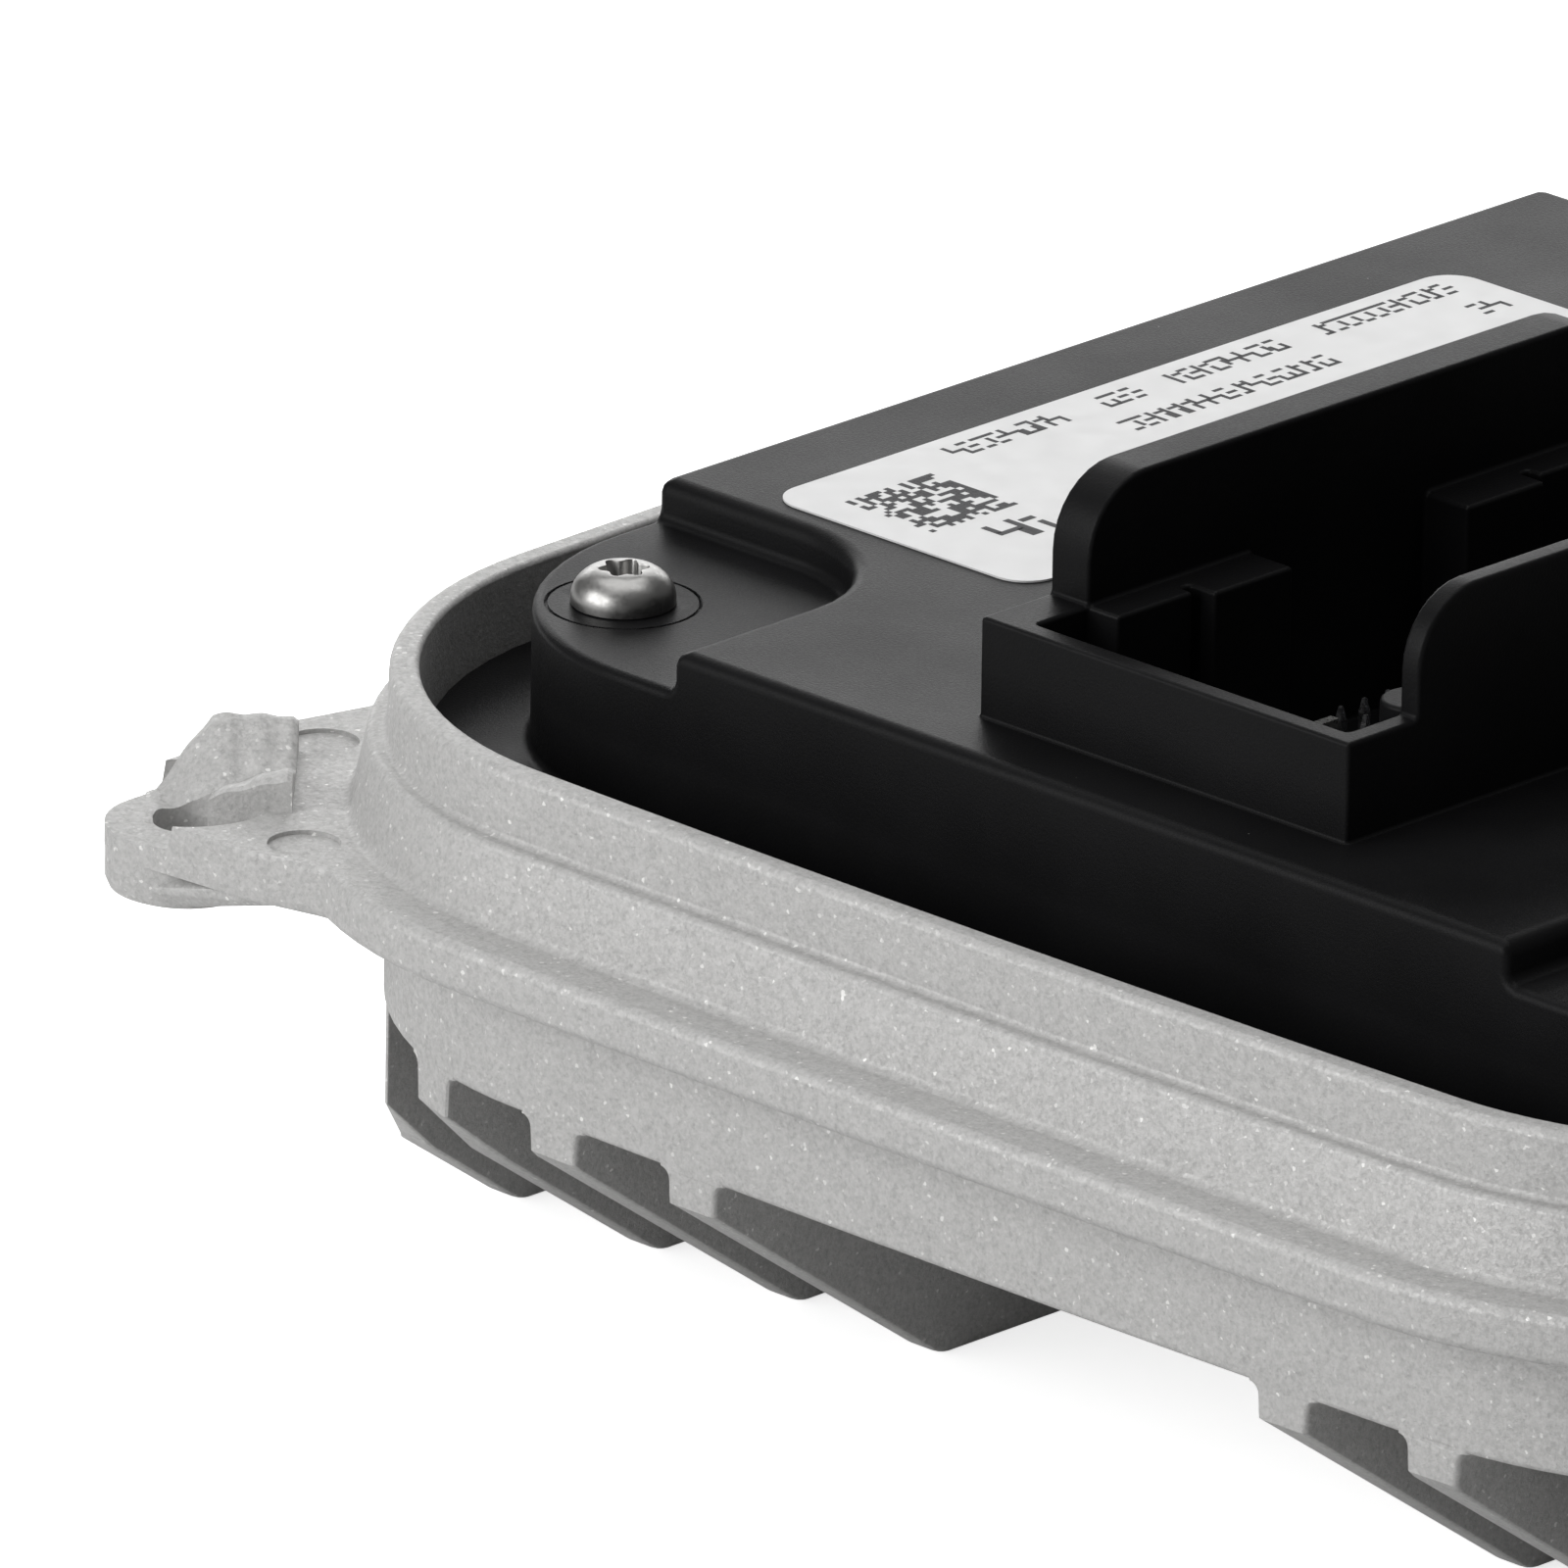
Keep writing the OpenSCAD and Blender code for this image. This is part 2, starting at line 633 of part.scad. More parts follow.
// Pan-head screw standing on the plane z = 0, its shank below
module pan_screw(d, l, head_d, head_h, recess_d) {
  dome_r = (pow(head_d / 2, 2) + pow(head_h * 0.75, 2)) / (2 * head_h * 0.75);
  difference() {
    union() {
      translate([0, 0, -l]) cylinder(d = d, h = l + head_h / 2);
      intersection() {
        translate([0, 0, head_h - dome_r]) sphere(r = dome_r);
        cylinder(d = head_d, h = head_h + EPS);
      }
    }
    translate([0, 0, head_h * 0.45]) {
      for (a = [0, 60, 120]) rotate(a)
        translate([-recess_d / 2, -recess_d * 0.14, 0]) cube([recess_d, recess_d * 0.28, head_h]);
      cylinder(d = recess_d * 0.74, h = head_h);
    }
  }
}

module cover_screws() {
  color([0.75, 0.74, 0.72]) at_corners(screw_x, screw_y) translate([0, 0, z_pocket])
    pan_screw(cover_screw_d, cover_screw_l, cover_screw_head_d, cover_screw_head_h, 3.86);
}

module compression_limiters() {
  color([0.8, 0.8, 0.8]) at_corners(screw_x, screw_y) translate([0, 0, z_seat]) difference() {
    cylinder(d = limiter_d, h = z_pocket - z_seat);
    translate([0, 0, -EPS]) cylinder(d = cover_screw_d + 2 * limiter_gap, h = cover_h + cover_t);
  }
}

module board_screws() {
  color([0.7, 0.7, 0.7]) for (p = board_screw_at) translate([p[0], p[1], z_board_top])
    pan_screw(board_screw_d, board_screw_l, 2 * board_screw_d, 2.2, 2.6);
}

module board_dowels() {
  color([0.8, 0.8, 0.8]) for (p = dowel_at)
    translate([p[0], p[1], z_floor + blind_t]) cylinder(d = dowel_d, h = standoff_h + board_t);
}

// ---- Board and connector ----

// Places of the signal pins
function pin_places() = [for (i = [0 : pin_rows - 1], j = [0 : pins_per_row - 1])
  [pin_mid_x + (i - (pin_rows - 1) / 2) * pin_pitch, pin_mid_y + (j - (pins_per_row - 1) / 2) * pin_pitch]];

// Places of the power blades, at both ends of the pin field
function blade_places() = [for (side = [-1, 1], k = [0 : blade_count - 1])
  [pin_mid_x + (k - (blade_count - 1) / 2) * 5.08,
   pin_mid_y + side * ((pins_per_row - 1) * pin_pitch / 2 + 2 + blade_w / 2)]];

module pins(gap, z0, z1) {
  t = pin_t + 2 * gap;
  for (p = pin_places()) translate([p[0] - t / 2, p[1] - t / 2, z0]) cube([t, t, z1 - z0]);
}

module blades(gap, z0, z1) {
  t = blade_t + 2 * gap;
  w = blade_w + 2 * gap;
  for (p = blade_places()) translate([p[0] - t / 2, p[1] - w / 2, z0]) cube([t, w, z1 - z0]);
}

module circuit_board() {
  color([0.06, 0.3, 0.16]) difference() {
    case_slab(cavity_inset + board_gap, z_board, z_board_top);
    at_corners(screw_x, screw_y) translate([0, 0, z_board - EPS])
      cylinder(d = post_d + board_gap, h = board_t + 2 * EPS);
    for (p = board_screw_at) translate([p[0], p[1], z_board - EPS])
      cylinder(d = board_screw_d + 2 * board_hole_gap, h = board_t + 2 * EPS);
    for (p = dowel_at) translate([p[0], p[1], z_board - EPS])
      cylinder(d = dowel_d, h = board_t + 2 * EPS);
    pins(board_hole_gap, z_board - EPS, z_board_top + EPS);
    blades(board_hole_gap, z_board - EPS, z_board_top + EPS);
  }
}

module pin_carrier() {
  color([0.16, 0.16, 0.17]) difference() {
    carrier_block(0, z_board_top, z_shroud_floor);
    pins(0, z_board_top - EPS, z_shroud_floor + EPS);
    blades(0, z_board_top - EPS, z_shroud_floor + EPS);
  }
}

module signal_pins() {
  color([0.8, 0.68, 0.35]) pins(0, z_pin_tail, z_pin_top);
}

module power_blades() {
  color([0.78, 0.78, 0.76]) blades(0, z_pin_tail, z_pin_top);
}

module thermal_pads() {
  color([0.55, 0.6, 0.7]) thermal_platforms(z_board - thermal_pad_t, z_board);
}

// A package of size [w, l, h] standing on the board at p
module package(p, size) {
  translate([p[0] - size[0] / 2, p[1] - size[1] / 2, z_board_top]) cube(size);
}

module power_transistors() {
  color([0.1, 0.1, 0.1]) for (p = platform_at, i = [-0.5, 0.5], j = [-0.5, 0.5])
    package([p[0] + i * transistor_step[0], p[1] + j * transistor_step[1]], transistor);
}

module storage_capacitors() {
  color([0.2, 0.22, 0.3]) for (i = [-1 : 1])
    translate([capacitor_x + capacitor_pitch * i, capacitor_y, z_board_top]) cylinder(r = capacitor_r, h = capacitor_h);
}

module choke_core() {
  color([0.3, 0.3, 0.3]) translate([choke_at[0], choke_at[1], z_board_top + choke_lift])
    rotate_extrude() translate([choke_r, 0]) circle(r = choke_tube_r);
}

module choke_winding() {
  color([0.72, 0.42, 0.2]) translate([choke_at[0], choke_at[1], z_board_top + choke_lift])
    for (a = [20, 200]) rotate(a) rotate_extrude(angle = 140) translate([choke_r, 0]) difference() {
      circle(r = choke_tube_r + winding_t);
      circle(r = choke_tube_r);
    }
}

module current_shunt() {
  color([0.7, 0.6, 0.5]) package(shunt_at, shunt);
}

module microcontroller() {
  color([0.08, 0.08, 0.08]) package(controller_at, controller);
}

module gate_drivers() {
  color([0.08, 0.08, 0.08]) for (p = driver_at) package(p, driver);
}

module bus_transceivers() {
  color([0.08, 0.08, 0.08]) for (p = transceiver_at) package(p, driver);
}

module voltage_regulator() {
  color([0.08, 0.08, 0.08]) package(regulator_at, regulator);
}

module quartz_crystal() {
  color([0.75, 0.75, 0.72]) package(crystal_at, crystal);
}

// A row of chip parts of one height along X
module chip_row(y, h) {
  for (i = [0 : chip_count - 1]) package([chip_x + chip_pitch * i, y], [chip[0], chip[1], h]);
}

module ceramic_capacitors() {
  color([0.62, 0.5, 0.36]) chip_row(ceramic_y, ceramic_h);
}

module chip_resistors() {
  color([0.12, 0.12, 0.14]) chip_row(resistor_y, resistor_h);
}

// ---- Vent ----

module vent_cap() {
  color([0.14, 0.14, 0.145]) translate([vent_x, vent_y, z_cover_top]) difference() {
    cylinder(d = vent_cap_d, h = vent_cap_h);
    translate([0, 0, -EPS]) cylinder(d = vent_cap_d - 2 * vent_lip_w, h = EPS + vent_lip_h);
    for (a = [0 : 60 : 300]) rotate(a)
      translate([vent_cap_d / 2 - vent_lip_w - EPS, -vent_slot_w / 2, -EPS])
        cube([vent_lip_w + 2 * EPS, vent_slot_w, EPS + vent_slot_h]);
  }
}

module vent_membrane() {
  color([0.92, 0.92, 0.9]) translate([vent_x, vent_y, z_vent_ledge]) cylinder(r = vent_stem_r, h = membrane_t);
}

module vent_o_ring() {
  color([0.1, 0.1, 0.1]) translate([vent_x, vent_y, z_vent_ledge + membrane_t + vent_seal_r])
    rotate_extrude() translate([vent_stem_r - vent_seal_r, 0]) circle(r = vent_seal_r);
}

module label() {
  color([0.9, 0.9, 0.89]) translate([label_x, label_y, z_cover_top]) linear_extrude(label_t)
    polygon(rounded(label_w / 2, label_l / 2, label_r));
}

heatsink_housing();
cover();
cover_gasket();
cover_screws();
compression_limiters();
circuit_board();
board_screws();
board_dowels();
pin_carrier();
signal_pins();
power_blades();
thermal_pads();
power_transistors();
storage_capacitors();
choke_core();
choke_winding();
current_shunt();
microcontroller();
gate_drivers();
bus_transceivers();
voltage_regulator();
quartz_crystal();
ceramic_capacitors();
chip_resistors();
vent_cap();
vent_membrane();
vent_o_ring();
label();
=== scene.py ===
"""Looks of a sealed electronic control unit: finned cast case, moulded lid, label, pins and stage."""
import math

import bmesh
import bpy
from bpy.props import FloatProperty, FloatVectorProperty, IntProperty, PointerProperty
from mathutils import Matrix, Vector


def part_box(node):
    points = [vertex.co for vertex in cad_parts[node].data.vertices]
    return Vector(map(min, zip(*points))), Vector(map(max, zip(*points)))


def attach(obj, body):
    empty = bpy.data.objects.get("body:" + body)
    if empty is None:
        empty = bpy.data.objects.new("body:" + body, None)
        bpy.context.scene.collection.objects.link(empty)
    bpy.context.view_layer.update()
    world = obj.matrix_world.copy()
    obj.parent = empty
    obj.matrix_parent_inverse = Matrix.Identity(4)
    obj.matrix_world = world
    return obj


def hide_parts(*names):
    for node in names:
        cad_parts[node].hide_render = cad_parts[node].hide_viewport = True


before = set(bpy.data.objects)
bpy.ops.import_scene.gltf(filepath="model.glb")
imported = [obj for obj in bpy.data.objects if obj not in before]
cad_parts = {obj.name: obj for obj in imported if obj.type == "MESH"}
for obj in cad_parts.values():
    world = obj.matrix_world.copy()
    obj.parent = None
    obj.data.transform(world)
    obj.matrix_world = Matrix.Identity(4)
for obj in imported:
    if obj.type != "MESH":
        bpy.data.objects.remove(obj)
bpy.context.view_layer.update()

bl_info = {
    "name": "Sealed control unit",
    "version": (1, 0, 0),
    "blender": (4, 5, 0),
    "location": "3D View > Sidebar > Control Unit",
    "description": "Builds the finished looks of a sealed control unit around its packed frame",
    "category": "Object",
}

MM = 0.001

# Heights and centres that come from the packed frame
CASE_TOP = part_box("heatsink_housing")[1].z
VENT_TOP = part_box("vent_cap")[1].z
LABEL_LOW, LABEL_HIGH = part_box("label")
PINS_LOW, PINS_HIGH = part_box("signal_pins")
CHOKE_LOW, CHOKE_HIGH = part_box("choke_core")


def length(name, description, mm, low=0.0, high=300.0):
    """A length property, given in millimetres and kept in metres."""
    return FloatProperty(name=name, description=description, default=mm * MM, min=low * MM, max=high * MM,
                         unit="LENGTH", subtype="DISTANCE", precision=5)


def tint(name, description, default):
    """A colour property."""
    return FloatVectorProperty(name=name, description=description, default=default, size=3,
                               min=0.0, max=1.0, subtype="COLOR")


def share(name, description, default, high=1.0):
    """A property that is a part of one."""
    return FloatProperty(name=name, description=description, default=default, min=0.0, max=high, subtype="FACTOR")


def angle(name, description, degrees):
    return FloatProperty(name=name, description=description, default=math.radians(degrees), subtype="ANGLE")


def power(name, description, watts):
    return FloatProperty(name=name, description=description, default=watts, min=0.0, unit="POWER")


# ---- Sizes and colours ----

class CONTROLUNIT_PG_case(bpy.types.PropertyGroup):
    """The cast case."""
    half_x: length("Half width", "Half the flange's width at the middle of a side", 89.7)
    half_y: length("Half length", "Half the flange's length at the middle of a side", 94.6)
    corner: length("Corner radius", "Radius of the flange's corners in plan", 41.0)
    bow: length("Side bow", "How far each side bows out", 1.6)
    underside: length("Underside height", "Height of the case's underside above the fin tips", 20.7)
    flange_low: length("Flange underside", "Height of the flange's underside", 31.9)
    flange_top: length("Flange top", "Height of the flange's top", 35.9)
    band_top: length("Band top", "Height of the small ledge halfway up the rim", 41.9)
    band_inset: length("Band inset", "Distance from the flange's edge to the lower band", 4.4)
    rim_inset: length("Rim inset", "Distance from the flange's edge to the upper band", 7.1)
    rim_inner: length("Rim inner inset", "Distance from the flange's edge to the rim's inner wall", 9.5)
    band_draft: length("Band draft", "How far the lower band leans in at its top", 1.3)
    cast_radius: length("Cast radius", "Radius of the soft edges of the rim and the flange", 0.85)
    fin_radius: length("Fin edge radius", "Radius of the fins' edges", 0.5)
    ear_x: length("Ear hole X", "Distance from the middle to a mounting hole, across", 83.1)
    ear_y: length("Ear hole Y", "Distance from the middle to a mounting hole, along", 85.7)
    metal: tint("Metal colour", "Colour of the blasted aluminium", (0.445, 0.442, 0.436))
    # painted highlight: the light colour painted into the brightest blast facets' base colour
    painted_glint: tint("Glint colour", "Colour of the brightest blast facets", (0.82, 0.815, 0.80))
    grain: length("Blast grain", "Size of the facets that the blasting leaves", 0.27)
    # share of the blast facets that get the painted highlight
    painted_glint_share: share("Glint share", "Share of the facets that catch the light", 0.035)


class CONTROLUNIT_PG_lid(bpy.types.PropertyGroup):
    """The moulded lid and its connector shroud."""
    half_x: length("Half width", "Half the raised lid's width", 70.2)
    half_y: length("Half length", "Half the raised lid's length", 75.1)
    top: length("Lid top", "Height of the lid's top", 55.4)
    pocket: length("Pocket floor", "Height of the corner pockets' floor", 52.1)
    trough: length("Trough", "Height of the lid's flange", 41.1)
    edge_radius: length("Edge radius", "Radius of the lid's outer top edge", 1.1)
    pocket_radius: length("Pocket radius", "Radius of the pockets' top edge", 1.3)
    shroud_radius: length("Shroud radius", "Radius of the shroud's edges", 0.35)
    plastic: tint("Plastic colour", "Colour of the moulded plastic", (0.0062, 0.0062, 0.0066))
    grain: length("Erosion grain", "Size of the fine eroded texture", 0.22)
    dust: share("Dust", "Share of the surface cells that hold a dust speck", 0.12)


class CONTROLUNIT_PG_screws(bpy.types.PropertyGroup):
    """The lid's screws."""
    head: length("Head diameter", "Diameter of the screw heads", 8.0)
    height: length("Head height", "Height of the screw heads", 3.1)
    shank: length("Shank diameter", "Diameter of the threads", 4.0)
    shank_length: length("Shank length", "Length under the head", 25.0)
    recess: length("Recess width", "Width of the six-lobed recess across its lobes", 3.86)
    recess_depth: length("Recess depth", "Depth of the recess", 1.7)
    inset: length("Screw inset", "Distance from the lid's edges to the screws", 11.3)
    steel: tint("Steel colour", "Colour of the screws", (0.36, 0.356, 0.348))


class CONTROLUNIT_PG_label(bpy.types.PropertyGroup):
    """The label's film and its print."""
    film: tint("Film colour", "Colour of the label's film", (0.65, 0.65, 0.65))
    ink: tint("Ink colour", "Colour of the print", (0.012, 0.012, 0.014))
    ink_height: length("Ink thickness", "Thickness of the print", 0.012)
    code_side: length("Code side", "Side of the printed square of random modules", 9.3)
    code_cells: IntProperty(name="Code cells", description="Modules along the square's side", default=18, min=6, max=30)
    code_x: length("Code offset X", "From the label's left edge to the square", 4.9)
    code_y: length("Code offset Y", "From the label's near edge to the square", 3.4)
    mark: length("Mark height", "Height of the small marks", 2.3)
    pitch: length("Mark pitch", "Distance between neighbouring small marks", 1.5)
    seed: IntProperty(name="Seed", description="Seed of the random marks and modules", default=7, min=0)


class CONTROLUNIT_PG_pins(bpy.types.PropertyGroup):
    """The connector's pins."""
    rows: IntProperty(name="Rows", description="Rows of signal pins", default=4, min=1, max=6)
    per_row: IntProperty(name="Pins in a row", description="Signal pins in a row", default=14, min=2, max=24)
    thickness: length("Pin thickness", "Side of a square signal pin", 0.64)
    taper: length("Pin point", "Length of a pin's tapered point", 1.1)
    plating: tint("Plating colour", "Colour of the pins' tin plating", (0.34, 0.34, 0.35))


class CONTROLUNIT_PG_coil(bpy.types.PropertyGroup):
    """The choke's winding."""
    turns: IntProperty(name="Turns", description="Turns of wire round the choke", default=34, min=6, max=60)
    ring: length("Ring radius", "Radius of the choke's ring", 6.0)
    tube: length("Tube radius", "Radius of the choke's core", 3.0)
    wire: length("Wire diameter", "Diameter of the winding's wire", 1.0)
    copper: tint("Copper colour", "Colour of the enamelled wire", (0.60, 0.24, 0.09))


class CONTROLUNIT_PG_stage(bpy.types.PropertyGroup):
    """Floor, lights and camera."""
    floor: length("Floor size", "Side of the floor", 12000.0, high=50000.0)
    distance: length("Camera distance", "Distance from the camera to its aim", 2600.0, high=50000.0)
    azimuth: angle("Azimuth", "Camera direction round the object", 44.1)
    elevation: angle("Elevation", "Camera direction above the floor", 20.28)
    roll: angle("Roll", "Turn of the camera about its own axis", 0.895)
    lens: FloatProperty(name="Lens", description="Focal length", default=795.6, min=10.0, unit="CAMERA")
    key: power("Key light", "Power of the light on the near wall", 28.0)
    top: power("Top light", "Power of the light from above", 14.0)
    back: power("Back light", "Power of the panel that the lid reflects", 24.0)
    room: FloatProperty(name="Room light", description="Strength of the light from all round", default=0.14, min=0.0)


# ---- Node helpers ----

class Finish:
    """A procedural material under construction."""

    def __init__(self, name, colour, metallic=0.0, roughness=0.5):
        self.material = bpy.data.materials.new(name)
        self.material.use_nodes = True
        self.nodes = self.material.node_tree.nodes
        self.links = self.material.node_tree.links
        self.bsdf = next(n for n in self.nodes if n.type == "BSDF_PRINCIPLED")
        self.bsdf.inputs["Base Color"].default_value = (*colour, 1.0)
        self.bsdf.inputs["Metallic"].default_value = metallic
        self.bsdf.inputs["Roughness"].default_value = roughness
        self.place = self.nodes.new("ShaderNodeTexCoord").outputs["Object"]

    def node(self, kind, _out=0, **values):
        made = self.nodes.new(kind)
        for key, value in values.items():
            if hasattr(made, key):
                setattr(made, key, value)
            elif isinstance(value, bpy.types.NodeSocket):
                self.links.new(value, made.inputs[key])
            else:
                made.inputs[key].default_value = value
        return made.outputs[_out]

    def noise(self, size, detail=3.0, rough=0.55):
        """Noise whose features are about size metres wide."""
        made = self.nodes.new("ShaderNodeTexNoise")
        self.links.new(self.place, made.inputs["Vector"])
        made.inputs["Scale"].default_value = 1.0 / size
        made.inputs["Detail"].default_value = detail
        made.inputs["Roughness"].default_value = rough
        return made.outputs["Fac"]

    def cells(self, size, output="Color"):
        """Cells about size metres wide: a random colour each, or the distance to a cell's centre."""
        made = self.nodes.new("ShaderNodeTexVoronoi")
        self.links.new(self.place, made.inputs["Vector"])
        made.inputs["Scale"].default_value = 1.0 / size
        return made.outputs[output]

    def span(self, value, low, high, out_low=0.0, out_high=1.0):
        made = self.nodes.new("ShaderNodeMapRange")
        self.links.new(value, made.inputs["Value"])
        for key, number in (("From Min", low), ("From Max", high), ("To Min", out_low), ("To Max", out_high)):
            made.inputs[key].default_value = number
        return made.outputs["Result"]

    def math(self, operation, a, b):
        made = self.nodes.new("ShaderNodeMath")
        made.operation = operation
        for socket, value in zip(made.inputs, (a, b)):
            if isinstance(value, bpy.types.NodeSocket):
                self.links.new(value, socket)
            else:
                socket.default_value = value
        return made.outputs[0]

    def mix(self, factor, a, b):
        made = self.nodes.new("ShaderNodeMix")
        made.data_type = "RGBA"
        for socket, value in ((made.inputs[0], factor), (made.inputs[6], a), (made.inputs[7], b)):
            if isinstance(value, bpy.types.NodeSocket):
                self.links.new(value, socket)
            else:
                socket.default_value = value if isinstance(value, float) else (*value, 1.0)
        return made.outputs[2]

    def colour(self, value):
        self.links.new(value, self.bsdf.inputs["Base Color"])

    def rough(self, value):
        self.links.new(value, self.bsdf.inputs["Roughness"])

    def bump(self, value, height, strength=1.0, below=None):
        made = self.nodes.new("ShaderNodeBump")
        made.inputs["Distance"].default_value = height
        made.inputs["Strength"].default_value = strength
        self.links.new(value, made.inputs["Height"])
        if below is not None:
            self.links.new(below, made.inputs["Normal"])
        self.links.new(made.outputs["Normal"], self.bsdf.inputs["Normal"])
        return made.outputs["Normal"]


def blasted_aluminium(p):
    f = Finish("blasted_aluminium", p.metal, metallic=0.35, roughness=0.62)
    value = f.node("ShaderNodeSeparateColor", Color=f.cells(p.grain))
    other = f.node("ShaderNodeSeparateColor", Color=f.cells(p.grain * 2.3))
    # painted glints: a mask of the cells above the share, which get a painted highlight
    painted_glint_mask = f.math("POWER", f.span(value, 1.0 - p.painted_glint_share, 1.0), 1.5)
    cloud = f.noise(9 * MM, 4.0)
    fine = f.noise(0.42 * MM, 3.0, 0.75)
    tone = f.mix(f.span(cloud, 0.3, 0.7), [c * 0.96 for c in p.metal], [min(1, c * 1.03) for c in p.metal])
    dark = f.mix(0.75, tone, [c * 0.72 for c in p.metal])
    tone = f.mix(f.span(fine, 0.28, 0.72, 0.0, 1.0), [c * 1.16 for c in p.metal], dark)
    tone = f.mix(f.span(f.math("ADD", value, other), 0.2, 1.8, 0.0, 0.5), tone, [min(1.0, c * 1.3) for c in p.metal])
    # the masked cells take the painted highlight colour in their base colour
    f.colour(f.mix(f.math("MULTIPLY", painted_glint_mask, f.span(other, 0.2, 0.9)), tone, p.painted_glint))
    f.rough(f.span(value, 0.0, 1.0, 0.7, 0.5))
    soft = f.bump(f.noise(1.6 * MM, 2.0), 0.06 * MM, 0.7)
    f.bump(f.math("ADD", value, f.math("MULTIPLY", fine, 2.0)), 0.035 * MM, 0.9, soft)
    return f.material


def eroded_plastic(p, name="eroded_plastic", roughness=0.4):
    f = Finish(name, p.plastic, roughness=roughness)
    f.bsdf.inputs["Specular IOR Level"].default_value = 0.085
    cloud = f.noise(14 * MM, 4.0)
    speck_cell = f.cells(3.4 * MM, "Distance")
    chance = f.node("ShaderNodeSeparateColor", Color=f.cells(3.4 * MM))
    speck = f.math("MULTIPLY", f.math("LESS_THAN", speck_cell, 0.022), f.math("LESS_THAN", chance, p.dust))
    base = f.mix(f.span(cloud, 0.3, 0.7), [c * 0.85 for c in p.plastic], [c * 1.2 for c in p.plastic])
    f.colour(f.mix(speck, base, (0.16, 0.16, 0.155)))
    fine = f.noise(p.grain, 3.0, 0.65)
    f.rough(f.math("ADD", f.span(cloud, 0.25, 0.75, roughness - 0.03, roughness + 0.05),
                   f.span(fine, 0.3, 0.7, -0.04, 0.04)))
    soft = f.bump(f.noise(6 * MM, 2.0), 0.02 * MM, 0.5)
    f.bump(fine, 0.03 * MM, 0.9, soft)
    return f.material


def formed_steel(colour):
    f = Finish("formed_steel", colour, metallic=1.0, roughness=0.36)
    streak = f.noise(0.35 * MM, 5.0, 0.7)
    f.colour(f.mix(f.span(f.noise(1.5 * MM), 0.3, 0.7), [c * 0.85 for c in colour], colour))
    f.rough(f.span(streak, 0.3, 0.7, 0.27, 0.46))
    f.bump(streak, 0.008 * MM, 0.8)
    return f.material


def label_film(p):
    f = Finish("label_film", p.film, roughness=0.42)
    f.colour(f.mix(f.span(f.noise(6 * MM), 0.3, 0.7), [c * 0.975 for c in p.film], p.film))
    f.rough(f.span(f.noise(2 * MM), 0.3, 0.7, 0.38, 0.48))
    f.bump(f.noise(3 * MM, 2.0), 0.01 * MM, 0.6)
    return f.material


def printed_ink(p):
    f = Finish("printed_ink", p.ink, roughness=0.5)
    f.bsdf.inputs["Specular IOR Level"].default_value = 0.15
    f.colour(f.mix(f.span(f.noise(0.15 * MM), 0.45, 0.8), p.ink, [c * 3 for c in p.ink]))
    f.bump(f.noise(0.1 * MM), 0.004 * MM, 0.5)
    return f.material


def plain_finish(name, colour, metallic, roughness, patch, grain, height, spread=0.12):
    """A finish for the pieces inside: tone patches, uneven gloss and a fine surface grain."""
    f = Finish(name, colour, metallic, roughness)
    cloud = f.noise(patch, 4.0)
    f.colour(f.mix(f.span(cloud, 0.3, 0.7), [c * (1 - spread) for c in colour],
                   [min(1.0, c * (1 + spread)) for c in colour]))
    fine = f.noise(grain, 3.0, 0.65)
    f.rough(f.span(fine, 0.3, 0.7, max(0.05, roughness - 0.06), roughness + 0.08))
    f.bump(fine, height, 0.8)
    return f.material


def solder_resist():
    """Green resist over woven laminate, with faint copper tracks under it."""
    f = Finish("solder_resist", (0.02, 0.13, 0.055), roughness=0.32)
    made = f.nodes.new("ShaderNodeTexBrick")
    f.links.new(f.place, made.inputs["Vector"])
    made.inputs["Scale"].default_value = 1 / (6 * MM)
    made.inputs["Mortar Size"].default_value = 0.03
    tracks = made.outputs["Fac"]
    f.colour(f.mix(f.math("MULTIPLY", tracks, 0.6), (0.02, 0.13, 0.055), (0.035, 0.22, 0.10)))
    f.bump(f.noise(0.8 * MM, 2.0), 0.012 * MM, 0.6)
    return f.material


# ---- Geometry helpers ----

def linked(name, mesh):
    made = bpy.data.objects.new(name, mesh)
    bpy.context.scene.collection.objects.link(made)
    return made


def finished(piece, slot, *nodes):
    """Puts a finished piece on the part's one body, in place of the named nodes."""
    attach(piece, "root")
    if nodes:
        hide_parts(*nodes)
    return piece


def coat(piece, material, slot):
    """Gives a piece its only material; the slot is not used."""
    piece.data.materials.clear()
    piece.data.materials.append(material)


def to_mesh(name, piece, smooth_angle=None):
    """The evaluated piece as a plain mesh, its modifiers gone."""
    evaluated = piece.evaluated_get(bpy.context.evaluated_depsgraph_get())
    mesh = bpy.data.meshes.new_from_object(evaluated)
    piece.modifiers.clear()
    old = piece.data
    piece.data = mesh
    bpy.data.meshes.remove(old)
    mesh.name = name
    if not mesh.polygons:
        raise RuntimeError(f"{name} came out empty")
    if smooth_angle is not None:
        mesh.shade_smooth()
        mesh.set_sharp_from_angle(angle=smooth_angle)
    return piece


